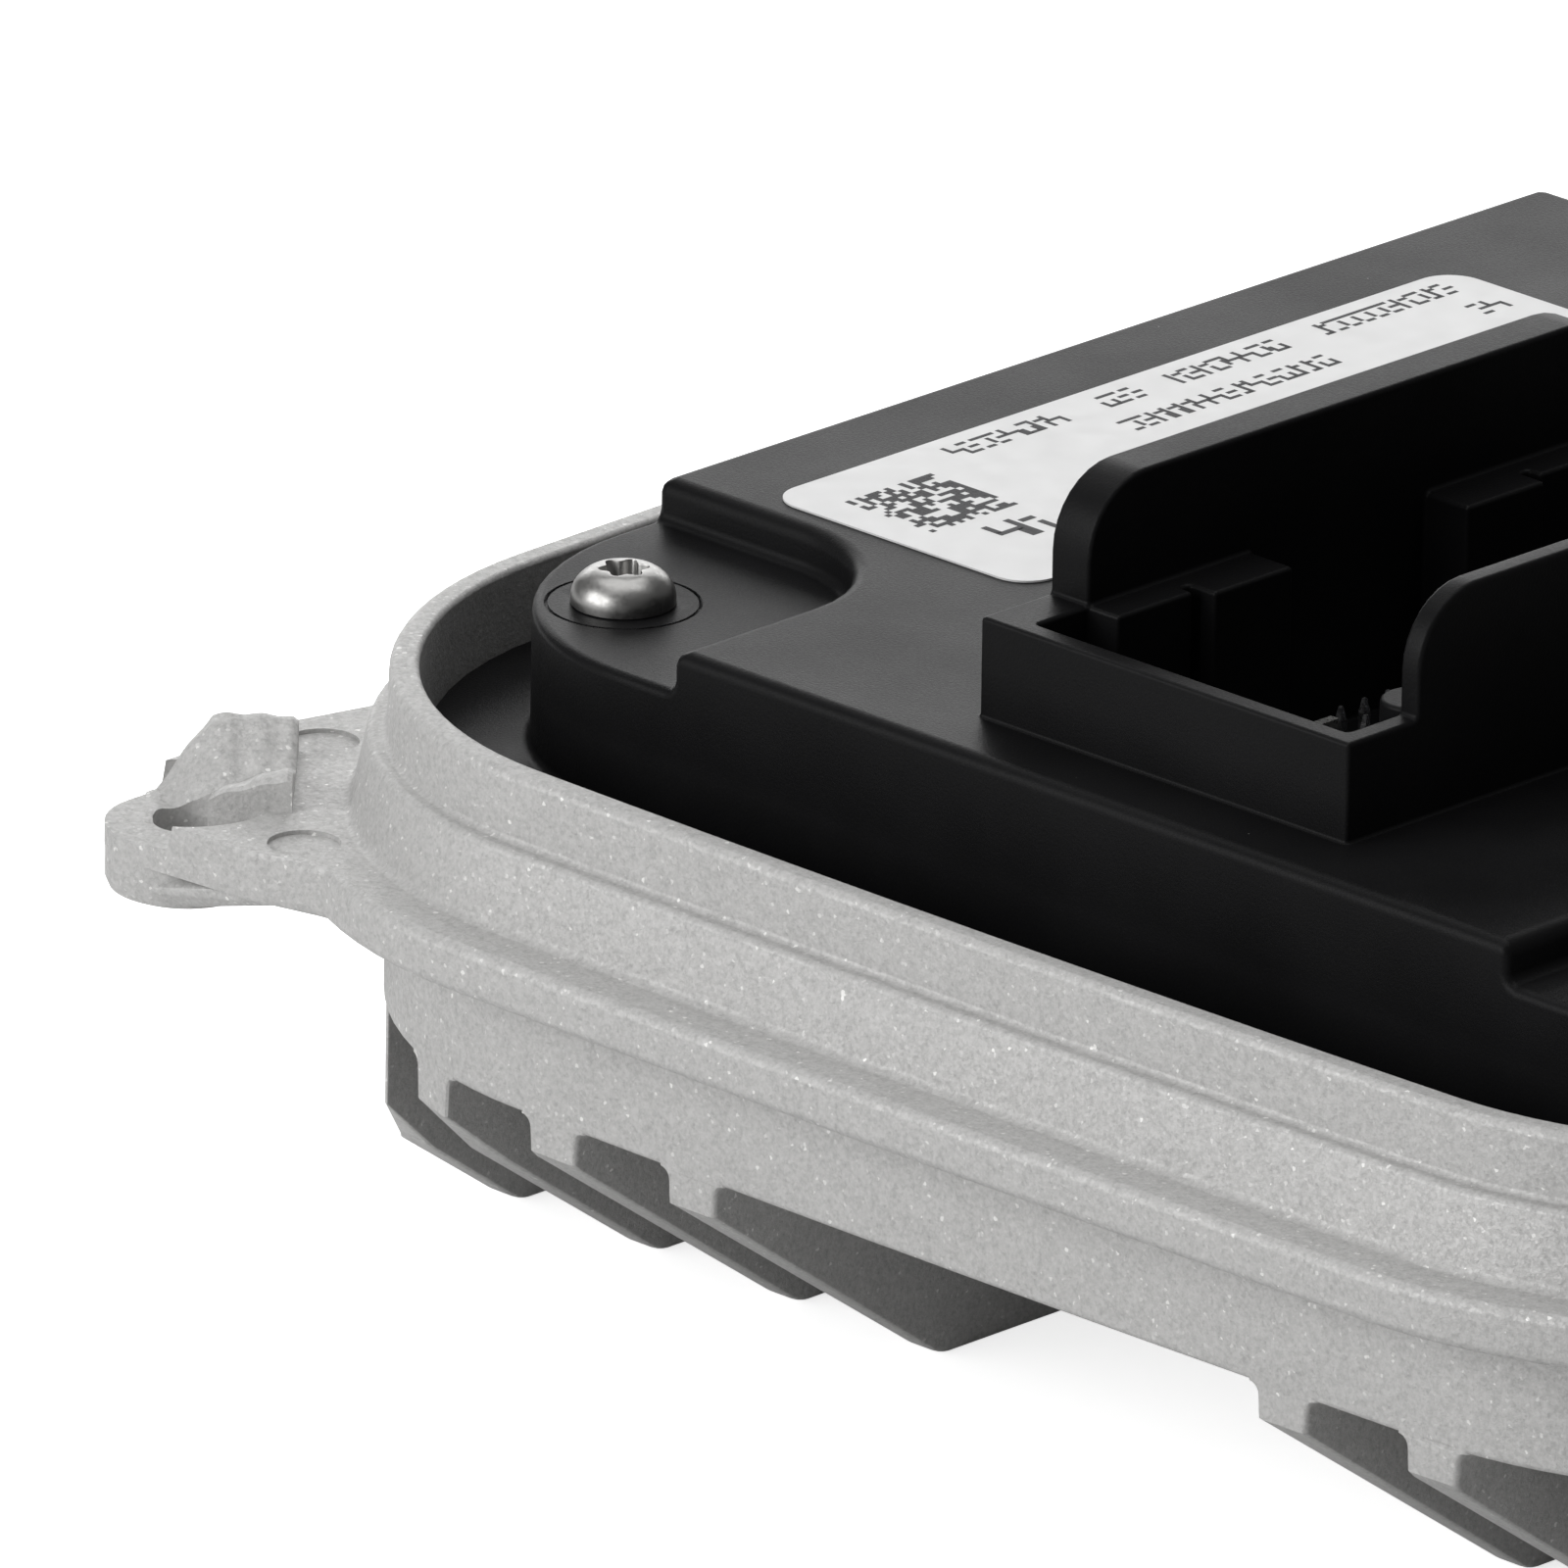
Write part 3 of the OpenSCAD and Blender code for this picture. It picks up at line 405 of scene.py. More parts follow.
def softened_copy(node, name, radius_of, segments=3):
    """A copy of a CAD node, merged, with each edge rounded by radius_of(middle, along)."""
    widest = 2 * MM
    bm = bmesh.new()
    bm.from_mesh(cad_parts[node].data)
    bmesh.ops.remove_doubles(bm, verts=bm.verts, dist=0.002 * MM)
    bmesh.ops.dissolve_limit(bm, angle_limit=math.radians(0.8), verts=bm.verts, edges=bm.edges)
    weight = bm.edges.layers.float.new("bevel_weight_edge")
    bm.normal_update()
    for e in bm.edges:
        if len(e.link_faces) == 2 and e.calc_face_angle(0.0) > math.radians(24):
            middle = (e.verts[0].co + e.verts[1].co) / 2
            e[weight] = radius_of(middle, (e.verts[1].co - e.verts[0].co).normalized()) / widest
    mesh = bpy.data.meshes.new(name)
    bm.to_mesh(mesh)
    bm.free()
    piece = linked(name, mesh)
    bevel = piece.modifiers.new("Edges", "BEVEL")
    bevel.limit_method = "WEIGHT"
    bevel.width = widest
    bevel.segments = segments
    bevel.use_clamp_overlap = False
    bevel.miter_outer = "MITER_ARC"
    mesh.shade_smooth()
    even = piece.modifiers.new("Shading", "WEIGHTED_NORMAL")
    even.keep_sharp = True
    even.weight = 60
    return piece


class Tree:
    """A geometry node tree under construction, with named inputs."""

    def __init__(self, name):
        self.group = bpy.data.node_groups.new(name, "GeometryNodeTree")
        self.entry = self.group.nodes.new("NodeGroupInput")
        self.exit = self.group.nodes.new("NodeGroupOutput")
        self.group.interface.new_socket("Geometry", in_out="OUTPUT", socket_type="NodeSocketGeometry")

    def input(self, name, kind, default=None):
        socket = self.group.interface.new_socket(name, in_out="INPUT", socket_type=kind)
        if default is not None:
            socket.default_value = default
        return self.entry.outputs[name]

    def node(self, kind, setup=None, **links):
        made = self.group.nodes.new(kind)
        for key, value in (setup or {}).items():
            setattr(made, key, value)
        for key, value in links.items():
            socket = made.inputs[key.replace("_", " ")]
            if isinstance(value, bpy.types.NodeSocket):
                self.group.links.new(value, socket)
            else:
                socket.default_value = value
        return made

    def end(self, instances, finish):
        real = self.node("GeometryNodeRealizeInstances", Geometry=instances)
        coat = self.node("GeometryNodeSetMaterial", Geometry=real.outputs[0], Material=finish)
        self.group.links.new(coat.outputs[0], self.exit.inputs[0])
        return self.group


def grown(name, places, group, values, smooth_angle=None):
    """Runs a tree on a mesh of places with the given inputs and returns the plain mesh piece."""
    piece = linked(name, places)
    modifier = piece.modifiers.new("Grow", "NODES")
    modifier.node_group = group
    for item in group.interface.items_tree:
        if item.item_type == "SOCKET" and item.in_out == "INPUT" and item.name in values:
            modifier[item.identifier] = values[item.name]
    return to_mesh(name, piece, smooth_angle)


def repeat_tree():
    """One part on every place, turned about Z by a random angle up to Turn."""
    t = Tree("Repeat on places")
    places = t.input("Places", "NodeSocketGeometry")
    part = t.input("Part", "NodeSocketObject")
    turn = t.input("Turn", "NodeSocketFloat", 0.0)
    seed = t.input("Seed", "NodeSocketInt", 0)
    finish = t.input("Finish", "NodeSocketMaterial")
    info = t.node("GeometryNodeObjectInfo", Object=part)
    chance = t.node("FunctionNodeRandomValue", {"data_type": "FLOAT"}, Seed=seed)
    angle = t.node("ShaderNodeMath", {"operation": "MULTIPLY"})
    t.group.links.new(chance.outputs[1], angle.inputs[0])
    t.group.links.new(turn, angle.inputs[1])
    axis = t.node("ShaderNodeCombineXYZ", Z=angle.outputs[0])
    put = t.node("GeometryNodeInstanceOnPoints", Points=places, Instance=info.outputs["Geometry"],
                 Rotation=axis.outputs[0])
    return t.end(put.outputs[0], finish)


def marks_tree():
    """A random mark from a set on every place, scaled by the place's own height."""
    t = Tree("Printed marks")
    places = t.input("Places", "NodeSocketGeometry")
    marks = t.input("Marks", "NodeSocketCollection")
    seed = t.input("Seed", "NodeSocketInt", 0)
    finish = t.input("Finish", "NodeSocketMaterial")
    pick = t.node("GeometryNodeCollectionInfo", Collection=marks, Separate_Children=True, Reset_Children=True)
    chance = t.node("FunctionNodeRandomValue", {"data_type": "INT"}, Seed=seed)
    chance.inputs[4].default_value = 0
    chance.inputs[5].default_value = 5
    height = t.node("GeometryNodeInputNamedAttribute", {"data_type": "FLOAT"}, Name="height")
    size = t.node("ShaderNodeCombineXYZ", X=height.outputs[0], Y=height.outputs[0], Z=1.0)
    put = t.node("GeometryNodeInstanceOnPoints", Points=places, Instance=pick.outputs[0], Pick_Instance=True,
                 Instance_Index=chance.outputs[2], Scale=size.outputs[0])
    return t.end(put.outputs[0], finish)


def code_tree():
    """A square field of modules, each printed or left out at random."""
    t = Tree("Code field")
    part = t.input("Module", "NodeSocketObject")
    side = t.input("Side", "NodeSocketFloat", 0.01)
    cells = t.input("Cells", "NodeSocketInt", 18)
    fill = t.input("Fill", "NodeSocketFloat", 0.5)
    seed = t.input("Seed", "NodeSocketInt", 0)
    middle = t.input("Middle", "NodeSocketVector")
    finish = t.input("Finish", "NodeSocketMaterial")
    grid = t.node("GeometryNodeMeshGrid", Size_X=side, Size_Y=side, Vertices_X=cells, Vertices_Y=cells)
    chance = t.node("FunctionNodeRandomValue", {"data_type": "BOOLEAN"}, Probability=fill, Seed=seed)
    info = t.node("GeometryNodeObjectInfo", Object=part)
    put = t.node("GeometryNodeInstanceOnPoints", Points=grid.outputs[0], Selection=chance.outputs[3],
                 Instance=info.outputs["Geometry"])
    moved = t.node("GeometryNodeTransform", Geometry=put.outputs[0], Translation=middle)
    return t.end(moved.outputs[0], finish)


def winding_tree():
    """Turns of wire set round a ring."""
    t = Tree("Ring winding")
    part = t.input("Turn of wire", "NodeSocketObject")
    ring = t.input("Ring radius", "NodeSocketFloat", 0.006)
    turns = t.input("Turns", "NodeSocketInt", 34)
    middle = t.input("Middle", "NodeSocketVector")
    finish = t.input("Finish", "NodeSocketMaterial")
    circle = t.node("GeometryNodeCurvePrimitiveCircle", {"mode": "RADIUS"}, Radius=ring)
    points = t.node("GeometryNodeCurveToPoints", {"mode": "COUNT"}, Curve=circle.outputs[0], Count=turns)
    info = t.node("GeometryNodeObjectInfo", Object=part)
    put = t.node("GeometryNodeInstanceOnPoints", Points=points.outputs[0], Instance=info.outputs["Geometry"],
                 Rotation=points.outputs["Rotation"])
    moved = t.node("GeometryNodeTransform", Geometry=put.outputs[0], Translation=middle)
    return t.end(moved.outputs[0], finish)


def places_mesh(name, places, heights=None):
    mesh = bpy.data.meshes.new(name)
    mesh.from_pydata([tuple(p) for p in places], [], [])
    if heights is not None:
        attribute = mesh.attributes.new("height", "FLOAT", "POINT")
        attribute.data.foreach_set("value", heights)
    return mesh


def add_box(bm, low, high):
    """A closed box between two corners."""
    made = bmesh.ops.create_cube(bm, size=1.0)
    for v in made["verts"]:
        v.co = Vector(low[i] if v.co[i] < 0 else high[i] for i in range(3))


def mesh_of(bm, name):
    mesh = bpy.data.meshes.new(name)
    bm.to_mesh(mesh)
    bm.free()
    return mesh


def ring_solid(rings, name):
    """A closed solid through rings with the same number of points each; a ring of one point is a tip."""
    bm = bmesh.new()
    made = [[bm.verts.new(p) for p in ring] for ring in rings]
    for a, b in zip(made, made[1:]):
        count = max(len(a), len(b))
        for i in range(count):
            j = (i + 1) % count
            corners = [a[i % len(a)], a[j % len(a)], b[j % len(b)], b[i % len(b)]]
            unique = [v for k, v in enumerate(corners) if v not in corners[:k]]
            bm.faces.new(unique)
    for end in (made[0], made[-1]):
        if len(end) > 1:
            bm.faces.new(end)
    bmesh.ops.recalc_face_normals(bm, faces=bm.faces)
    return mesh_of(bm, name)


def drop(*things):
    for thing in things:
        mesh = thing.data
        bpy.data.objects.remove(thing)
        bpy.data.meshes.remove(mesh)


# ---- Pieces ----

def case_ring(p, inset, z):
    """The case's plan outline at an inset, as a ring of points: arcs at the corners and bowed sides."""
    hx, hy, r = p.half_x - inset - p.bow, p.half_y - inset - p.bow, p.corner - inset
    corner_steps, side_steps = 22, 10
    ring = []
    for k, (sx, sy) in enumerate(((1, 1), (-1, 1), (-1, -1), (1, -1))):
        cx, cy = sx * (hx - r), sy * (hy - r)
        for i in range(corner_steps):
            a = math.radians(90 * k + 90 * i / corner_steps)
            ring.append((cx + r * math.cos(a), cy + r * math.sin(a)))
        a = math.radians(90 * (k + 1))
        start = Vector((cx + r * math.cos(a), cy + r * math.sin(a)))
        nx, ny = ((-1, 1), (-1, -1), (1, -1), (1, 1))[k]
        stop = Vector((nx * (hx - r) + r * math.cos(a), ny * (hy - r) + r * math.sin(a)))
        ring += [tuple(start.lerp(stop, i / side_steps)) for i in range(side_steps)]
    return [(x + p.bow * x / hx * (1 - (y / hy) ** 2), y + p.bow * y / hy * (1 - (x / hx) ** 2), z)
            for x, y in ring]


def case_far(p, inset, x):
    """Y of the case's far side at x."""
    hx, hy, r = p.half_x - inset - p.bow, p.half_y - inset - p.bow, p.corner - inset
    over = min(r, max(0.0, abs(x) - (hx - r)))
    return hy - r + math.sqrt(r * r - over * over) + p.bow * (1 - (x / hx) ** 2)


def rounded_path(path, steps=4):
    """A path of (a, b, radius) corners with each corner turned into an arc of that radius."""
    points = []
    for k, (a, b, radius) in enumerate(path):
        here = Vector((a, b))
        if radius <= 0 or k in (0, len(path) - 1):
            points.append((a, b))
            continue
        back = (Vector(path[k - 1][:2]) - here).normalized()
        ahead = (Vector(path[k + 1][:2]) - here).normalized()
        half = back.angle(ahead) / 2
        centre = here + (back + ahead).normalized() * radius / math.sin(half)
        start = here + back * radius / math.tan(half) - centre
        stop = here + ahead * radius / math.tan(half) - centre
        for i in range(steps + 1):
            turn = start.lerp(stop, i / steps).normalized() * radius
            points.append(tuple(centre + turn))
    return points


def case_body(p):
    """The case without fins and ears: one profile carried round the plan outline."""
    soft = p.cast_radius
    seat, groove, floor = 38.6 * MM, 37.4 * MM, 23.7 * MM
    seat_edge = p.rim_inner + 5 * MM
    middle = p.rim_inner + 2.7 * MM
    profile = rounded_path([
        (p.rim_inset + 8 * MM, p.underside, 0), (p.rim_inset, p.underside, 0.5 * MM),
        (p.rim_inset, p.flange_low, soft), (0.0, p.flange_low, soft), (0.0, p.flange_top, soft),
        (p.band_inset, p.flange_top, soft), (p.band_inset + p.band_draft, p.band_top, 0.6 * MM),
        (p.rim_inset, p.band_top, 0.5 * MM), (p.rim_inset + 0.15 * MM, CASE_TOP, 0.7 * MM),
        (p.rim_inner, CASE_TOP, 0.45 * MM), (p.rim_inner, seat, 0.2 * MM),
        (middle - 1.1 * MM, seat, 0), (middle - 1.1 * MM, groove, 0), (middle + 1.1 * MM, groove, 0),
        (middle + 1.1 * MM, seat, 0), (seat_edge, seat, 0.4 * MM), (seat_edge, floor, 0.8 * MM),
        (seat_edge + 8 * MM, floor, 0)])
    return ring_solid([case_ring(p, inset, z) for inset, z in profile], "case_body")


def fin_form(p, x):
    """One fin: level slices from its tip up into the case, cut by the slope and the case's outline."""
    tip, root, edge, flare = 1.5 * MM, 2.6 * MM, p.fin_radius, 0.9 * MM
    slope, tooth, bend = math.radians(35), p.underside - 2.7 * MM, 4 * MM
    y_end = case_far(p, p.rim_inset, 32.9 * MM)
    y_tip = y_end - tooth / math.tan(slope)
    levels = [edge * (1 - math.cos(math.radians(a))) for a in (0, 30, 60, 90)]
    levels += [bend * (1 - math.cos(slope * k / 5)) for k in range(1, 6)]
    levels += [3 * MM, 7 * MM, 12 * MM, tooth - 0.6 * MM, tooth, tooth + 0.4 * MM]
    levels += [p.underside - flare + flare * math.sin(math.radians(a)) for a in (0, 18, 36, 54, 72, 90)]
    levels = sorted(set(round(z, 7) for z in levels)) + [p.underside + 1.2 * MM]
    rings = []
    for z in levels:
        half = tip + (root - tip) * min(z, p.underside) / p.underside
        if z < edge:
            half -= edge - math.sqrt(max(0.0, edge ** 2 - (edge - z) ** 2))
        up = min(flare, max(0.0, z - (p.underside - flare)))
        half += flare - math.sqrt(max(0.0, flare ** 2 - up ** 2))
        if z < bend * (1 - math.cos(slope)):
            a = math.acos(1 - z / bend)
            reach = y_tip - bend * math.tan(slope / 2) + bend * math.sin(a)
        else:
            reach = y_tip + z / math.tan(slope)
        ring = []
        for sx, sy in ((1, 1), (-1, 1), (-1, -1), (1, -1)):
            turn = (0, 30, 60, 90) if sx * sy > 0 else (90, 60, 30, 0)
            for a in turn:
                a = math.radians(a)
                px = x + sx * (half - edge * (1 - math.cos(a)))
                limit = min(reach, case_far(p, p.rim_inset + 0.02 * MM, px)) - edge * (1 - math.sin(a))
                ring.append((px, sy * limit, z))
        rings.append(ring)
    return ring_solid(rings, "fin")


def hull_form(points, radius, name):
    """The convex solid through some points, its edges rounded."""
    bm = bmesh.new()
    for point in points:
        bm.verts.new(point)
    made = bmesh.ops.convex_hull(bm, input=bm.verts)
    spare = {g for g in made["geom_interior"] + made["geom_unused"] if isinstance(g, bmesh.types.BMVert)}
    bmesh.ops.delete(bm, geom=list(spare), context="VERTS")
    bmesh.ops.dissolve_limit(bm, angle_limit=math.radians(1), verts=bm.verts, edges=bm.edges)
    bmesh.ops.bevel(bm, geom=bm.edges[:], offset=radius, offset_type="OFFSET", segments=3, profile=0.5,
                    affect="EDGES", clamp_overlap=True)
    bmesh.ops.recalc_face_normals(bm, faces=bm.faces)
    return mesh_of(bm, name)


def prism_form(outline, z0, z1, radius, name):
    """An upright prism with rounded top and bottom edges."""
    bm = bmesh.new()
    low = [bm.verts.new((x, y, z0)) for x, y in outline]
    high = [bm.verts.new((x, y, z1)) for x, y in outline]
    bm.faces.new(low[::-1])
    bm.faces.new(high)
    for i in range(len(outline)):
        j = (i + 1) % len(outline)
        bm.faces.new((low[i], low[j], high[j], high[i]))
    level = [e for e in bm.edges if abs(e.verts[0].co.z - e.verts[1].co.z) < 1e-9]
    bmesh.ops.bevel(bm, geom=level, offset=radius, offset_type="OFFSET", segments=4, profile=0.5,
                    affect="EDGES", clamp_overlap=True)
    bmesh.ops.recalc_face_normals(bm, faces=bm.faces)
    return mesh_of(bm, name)


def circle(radius, z, steps, at=(0.0, 0.0)):
    """A level ring of points."""
    turns = [2 * math.pi * i / steps for i in range(steps)]
    return [(at[0] + radius * math.cos(a), at[1] + radius * math.sin(a), z) for a in turns]


def lathe_form(path, name, steps=48, at=(0.0, 0.0)):
    """A solid of revolution through (radius, z) points."""
    rings = [circle(radius, z, steps, at) if radius else [(at[0], at[1], z)] for radius, z in path]
    return ring_solid(rings, name)


def post_form(radius, z0, z1, name, steps, at):
    """An upright post between two heights."""
    return lathe_form([(0, z0), (radius, z0), (radius, z1), (0, z1)], name, steps, at)


def close_up(mesh):
    """Merges the slivers that a boolean leaves, closes their gaps and drops their crumbs."""
    bm = bmesh.new()
    bm.from_mesh(mesh)
    bmesh.ops.remove_doubles(bm, verts=bm.verts, dist=0.004 * MM)
    bmesh.ops.dissolve_degenerate(bm, edges=bm.edges, dist=0.004 * MM)
    gaps = [e for e in bm.edges if len(e.link_faces) == 1]
    bmesh.ops.holes_fill(bm, edges=gaps, sides=12)
    crumbs, seen = [], set()
    for start in bm.faces:
        if start in seen:
            continue
        seen.add(start)
        island, edge_of = [start], [start]
        while edge_of:
            for edge in edge_of.pop().edges:
                for face in edge.link_faces:
                    if face not in seen:
                        seen.add(face)
                        island.append(face)
                        edge_of.append(face)
        if len(island) < 60:
            crumbs += island
    bmesh.ops.delete(bm, geom=crumbs, context="FACES")
    bmesh.ops.delete(bm, geom=[v for v in bm.verts if not v.link_faces], context="VERTS")
    bm.to_mesh(mesh)
    bm.free()


def carve(piece, meshes, operation):
    """Joins meshes to the piece, or cuts them out of it, with the exact solver."""
    group = bpy.data.collections.new("tools")
    helpers = []
    for mesh in meshes:
        helper = bpy.data.objects.new(mesh.name, mesh)
        group.objects.link(helper)
        helpers.append(helper)
    modifier = piece.modifiers.new("Carve", "BOOLEAN")
    modifier.operation = operation
    modifier.operand_type = "COLLECTION"
    modifier.collection = group
    modifier.solver = "EXACT"
    to_mesh(piece.name, piece)
    drop(*helpers)
    bpy.data.collections.remove(group)
    close_up(piece.data)
    return piece


def mirrored(mesh, sx, sy):
    made = mesh.copy()
    made.transform(Matrix.Diagonal((sx, sy, 1.0, 1.0)))
    if sx * sy < 0:
        made.flip_normals()
    return made


def ear_wedge(p, ex, ey, pad):
    """The raised block beside the hole: two ridges with a shallow valley that runs down to the hole."""
    top, low = p.flange_top + 3 * MM, p.flange_low + 0.93 * MM
    along, across = 30, 34
    deep = math.sqrt(0.5)

    def height(i, t):
        """Height at i inwards from the hole and t across, towards the far side."""
        near_top = top + min(0.0, i - 7.4 * MM) * 0.354 - max(0.0, 1.1 * MM - i) * 1.6
        near_z = near_top - max(0.0, t + 2.6 * MM) * 0.36
        far_top = top - max(0.0, 1.9 * MM - i) * 1.13
        crest = 8.6 * MM - max(0.0, 1.9 * MM - i) * 0.41
        far_z = far_top - max(0.0, crest - t - 0.7 * MM) * 0.62 - max(0.0, t - crest - 0.6 * MM) * 0.5
        valley = pad + 0.2 * MM + max(0.0, i + 0.6 * MM) * 0.31
        rough = 0.09 * MM * (math.sin(i * 2300 + 1.3) + math.sin(t * 1900 + i * 700))
        return max(near_z, far_z, valley) + rough

    bm = bmesh.new()
    upper, lower = [], []
    for a in range(along + 1):
        for b in range(across + 1):
            q = b / across
            i = -3.13 * MM + (7.9 * MM + 0.5 * MM * q + 3.13 * MM) * a / along
            t_near = -1.7 * MM - (i - 0.4 * MM) * 0.333
            t_far = min(10.3 * MM, i + 8.63 * MM)
            t = t_near + (t_far - t_near) * q
            edge = min(along - a, b, across - b)
            z = height(i, t) - (0.42 * MM if edge == 0 else 0.1 * MM if edge == 1 else 0.0)
            x, y = ex + (i - t) * deep, ey + (i + t) * deep
            upper.append(bm.verts.new((x, y, max(z, low + 0.2 * MM))))
            lower.append(bm.verts.new((x, y, low)))
    step = across + 1
    for a in range(along):
        for b in range(across):
            k = a * step + b
            bm.faces.new((upper[k], upper[k + 1], upper[k + step + 1], upper[k + step]))
            bm.faces.new((lower[k], lower[k + step], lower[k + step + 1], lower[k + 1]))
    rim = [a * step for a in range(along)] + [along * step + b for b in range(across)]
    rim += [a * step + across for a in range(along, 0, -1)] + [b for b in range(across, 0, -1)]
    for k, m in zip(rim, rim[1:] + rim[:1]):
        bm.faces.new((upper[k], upper[m], lower[m], lower[k]))
    bmesh.ops.recalc_face_normals(bm, faces=bm.faces)
    return mesh_of(bm, "ear_wedge")


def ear_forms(p):
    """What an ear in the (-X, -Y) corner is joined from, and what is cut out of it."""
    ex, ey, tip = -p.ear_x, -p.ear_y, 6.2 * MM
    pad, under = p.flange_top - 2.2 * MM, p.flange_low - 3.4 * MM
    quarter = [math.radians(180 + 9 * i) for i in range(11)]
    arc = [(ex + tip * math.cos(a), ey + tip * math.sin(a)) for a in quarter]
    outline = [(-p.half_x + p.corner, ey + 2 * tip), (-p.half_x + 4 * MM, -p.half_y + p.corner),
               (ex - tip + 0.3 * MM, ey + 2.6 * tip), (ex - tip, ey + tip)]
    outline += arc + [(ex + 12 * MM, ey - tip + 0.9 * MM), (ex + 24 * MM, ey - tip + 3 * MM)]
    plate = prism_form(outline, p.flange_low + 0.01 * MM, p.flange_top - 0.01 * MM, 0.7 * MM, "ear_plate")
    side = tip - 0.04 * MM
    boss = lathe_form([(0, under), (side - 1.0 * MM, under), (side - 0.3 * MM, under + 0.3 * MM),
                       (side, under + 1.0 * MM), (side, p.flange_low + 1.2 * MM), (0, p.flange_low + 1.2 * MM)],
                      "ear_boss", 44, (ex, ey))
    # the boss runs on under the plate as a web that rises towards the case
    web = []
    for a in range(-135, 46, 15):
        for q, z in ((tip - 1.2 * MM, under + 0.13 * MM), (tip - 0.2 * MM, under + 1.3 * MM)):
            web.append((ex + q * math.cos(math.radians(a)), ey + q * math.sin(math.radians(a)), z))
    web = [v for v in web if (v[0] - ex) + (v[1] - ey) > -0.5 * tip * 3]
    for dx, dy in ((16, -4.2), (12, 6), (6, 12), (-4.6, 15)):
        web.append((ex + dx * MM, ey + dy * MM, p.flange_low + 0.4 * MM))
    web += [(x, y, p.flange_low + 1.53 * MM) for x, y, z in web[-4:]] + [(ex, ey, p.flange_low + 1.53 * MM)]
    web = hull_form(web, 0.3 * MM, "ear_web")
    above = p.flange_top + 4 * MM
    recess = lathe_form([(0, pad), (tip + 0.3 * MM, pad), (tip + 0.9 * MM, pad + 0.3 * MM), (tip + 1.6 * MM, above),
                         (0, above)], "pad_recess", 48, (ex, ey))
    hole_r, mark_r, mark_depth = 2.6 * MM, 2.8 * MM, 0.35 * MM
    hole = post_form(hole_r, 27 * MM, 41 * MM, "ear_hole", 48, (ex, ey))
    marks = [post_form(mark_r, p.flange_top - mark_depth, above, "ejector_mark", 40, at)
             for at in ((ex + 13.7 * MM, ey - 1.2 * MM), (ex - 1 * MM, ey + 15.4 * MM))]
    return plate, recess, boss, web, ear_wedge(p, ex, ey, pad), hole, marks


class CONTROLUNIT_OT_case(bpy.types.Operator):
    """Build the cast case with its fins, rim and ears."""
    bl_idname = "controlunit.case"
    bl_label = "Cast case"

    def execute(self, context):
        p = context.scene.controlunit_case
        lid = context.scene.controlunit_lid
        screws = context.scene.controlunit_screws
        corners = [(sx, sy) for sx in (-1, 1) for sy in (-1, 1)]

        plate, recess, boss, web, wedge, hole, marks = ear_forms(p)
        ear = linked("ear", plate)
        carve(ear, [recess], "DIFFERENCE")
        carve(ear, [boss], "UNION")
        carve(ear, [web], "UNION")
        carve(ear, [wedge], "UNION")
        carve(ear, [hole], "DIFFERENCE")
        ears = [mirrored(ear.data, -sx, -sy) for sx, sy in corners]
        drop(ear)

        piece = linked("finned_case", case_body(p))
        offset, first, pitch, count = 2.2, 30.3, 14.8, 4
        fins = [fin_form(p, offset * MM + side * (first + pitch * i) * MM) for side in (-1, 1) for i in range(count)]
        carve(piece, fins, "UNION")
        carve(piece, ears, "UNION")

        # posts and standoffs start inside the floor and end at the seat and under the board
        floor, seat, under = 22.5 * MM, 38.55 * MM, 29.7 * MM
        sx, sy = lid.half_x - screws.inset, lid.half_y - screws.inset
        screw_at = [(i * sx, j * sy) for i, j in corners]
        posts = [post_form(5.5 * MM, floor, seat, "post", 32, at) for at in screw_at]
        stands = [(i * 0.4 * p.half_x, j * 0.72 * p.half_y) for i, j in corners]
        stands += [(i * 0.72 * p.half_x, 0.0) for i in (-1, 1)]
        stands += [(i * 0.72 * p.half_x, i * 0.3 * p.half_y) for i in (-1, 1)]
        posts += [post_form(3.5 * MM, floor, under, "standoff", 32, at) for at in stands]
        for y in (-0.42, 0.12):
            bm = bmesh.new()
            add_box(bm, (-62 * MM, y * p.half_y, floor), (-34 * MM, y * p.half_y + 34 * MM, 28.7 * MM))
            posts.append(mesh_of(bm, "platform"))
        carve(piece, posts, "UNION")
        cuts = [post_form(2 * MM, 26.1 * MM, 60 * MM, "thread", 24, at) for at in screw_at]
        cuts += [post_form(1.5 * MM, 24.8 * MM, 60 * MM, "thread", 24, at) for at in stands]
        for mark in marks:
            cuts += [mirrored(mark, -i, -j) for i, j in corners]
            bpy.data.meshes.remove(mark)
        carve(piece, cuts, "DIFFERENCE")

        mesh = piece.data
        mesh.materials.clear()
        mesh.materials.append(blasted_aluminium(p))
        mesh.shade_smooth()
        mesh.set_sharp_from_angle(angle=math.radians(32))
        even = piece.modifiers.new("Shading", "WEIGHTED_NORMAL")
        even.keep_sharp = True
        finished(piece, "cast_aluminium", "heatsink_housing")
        return {"FINISHED"}


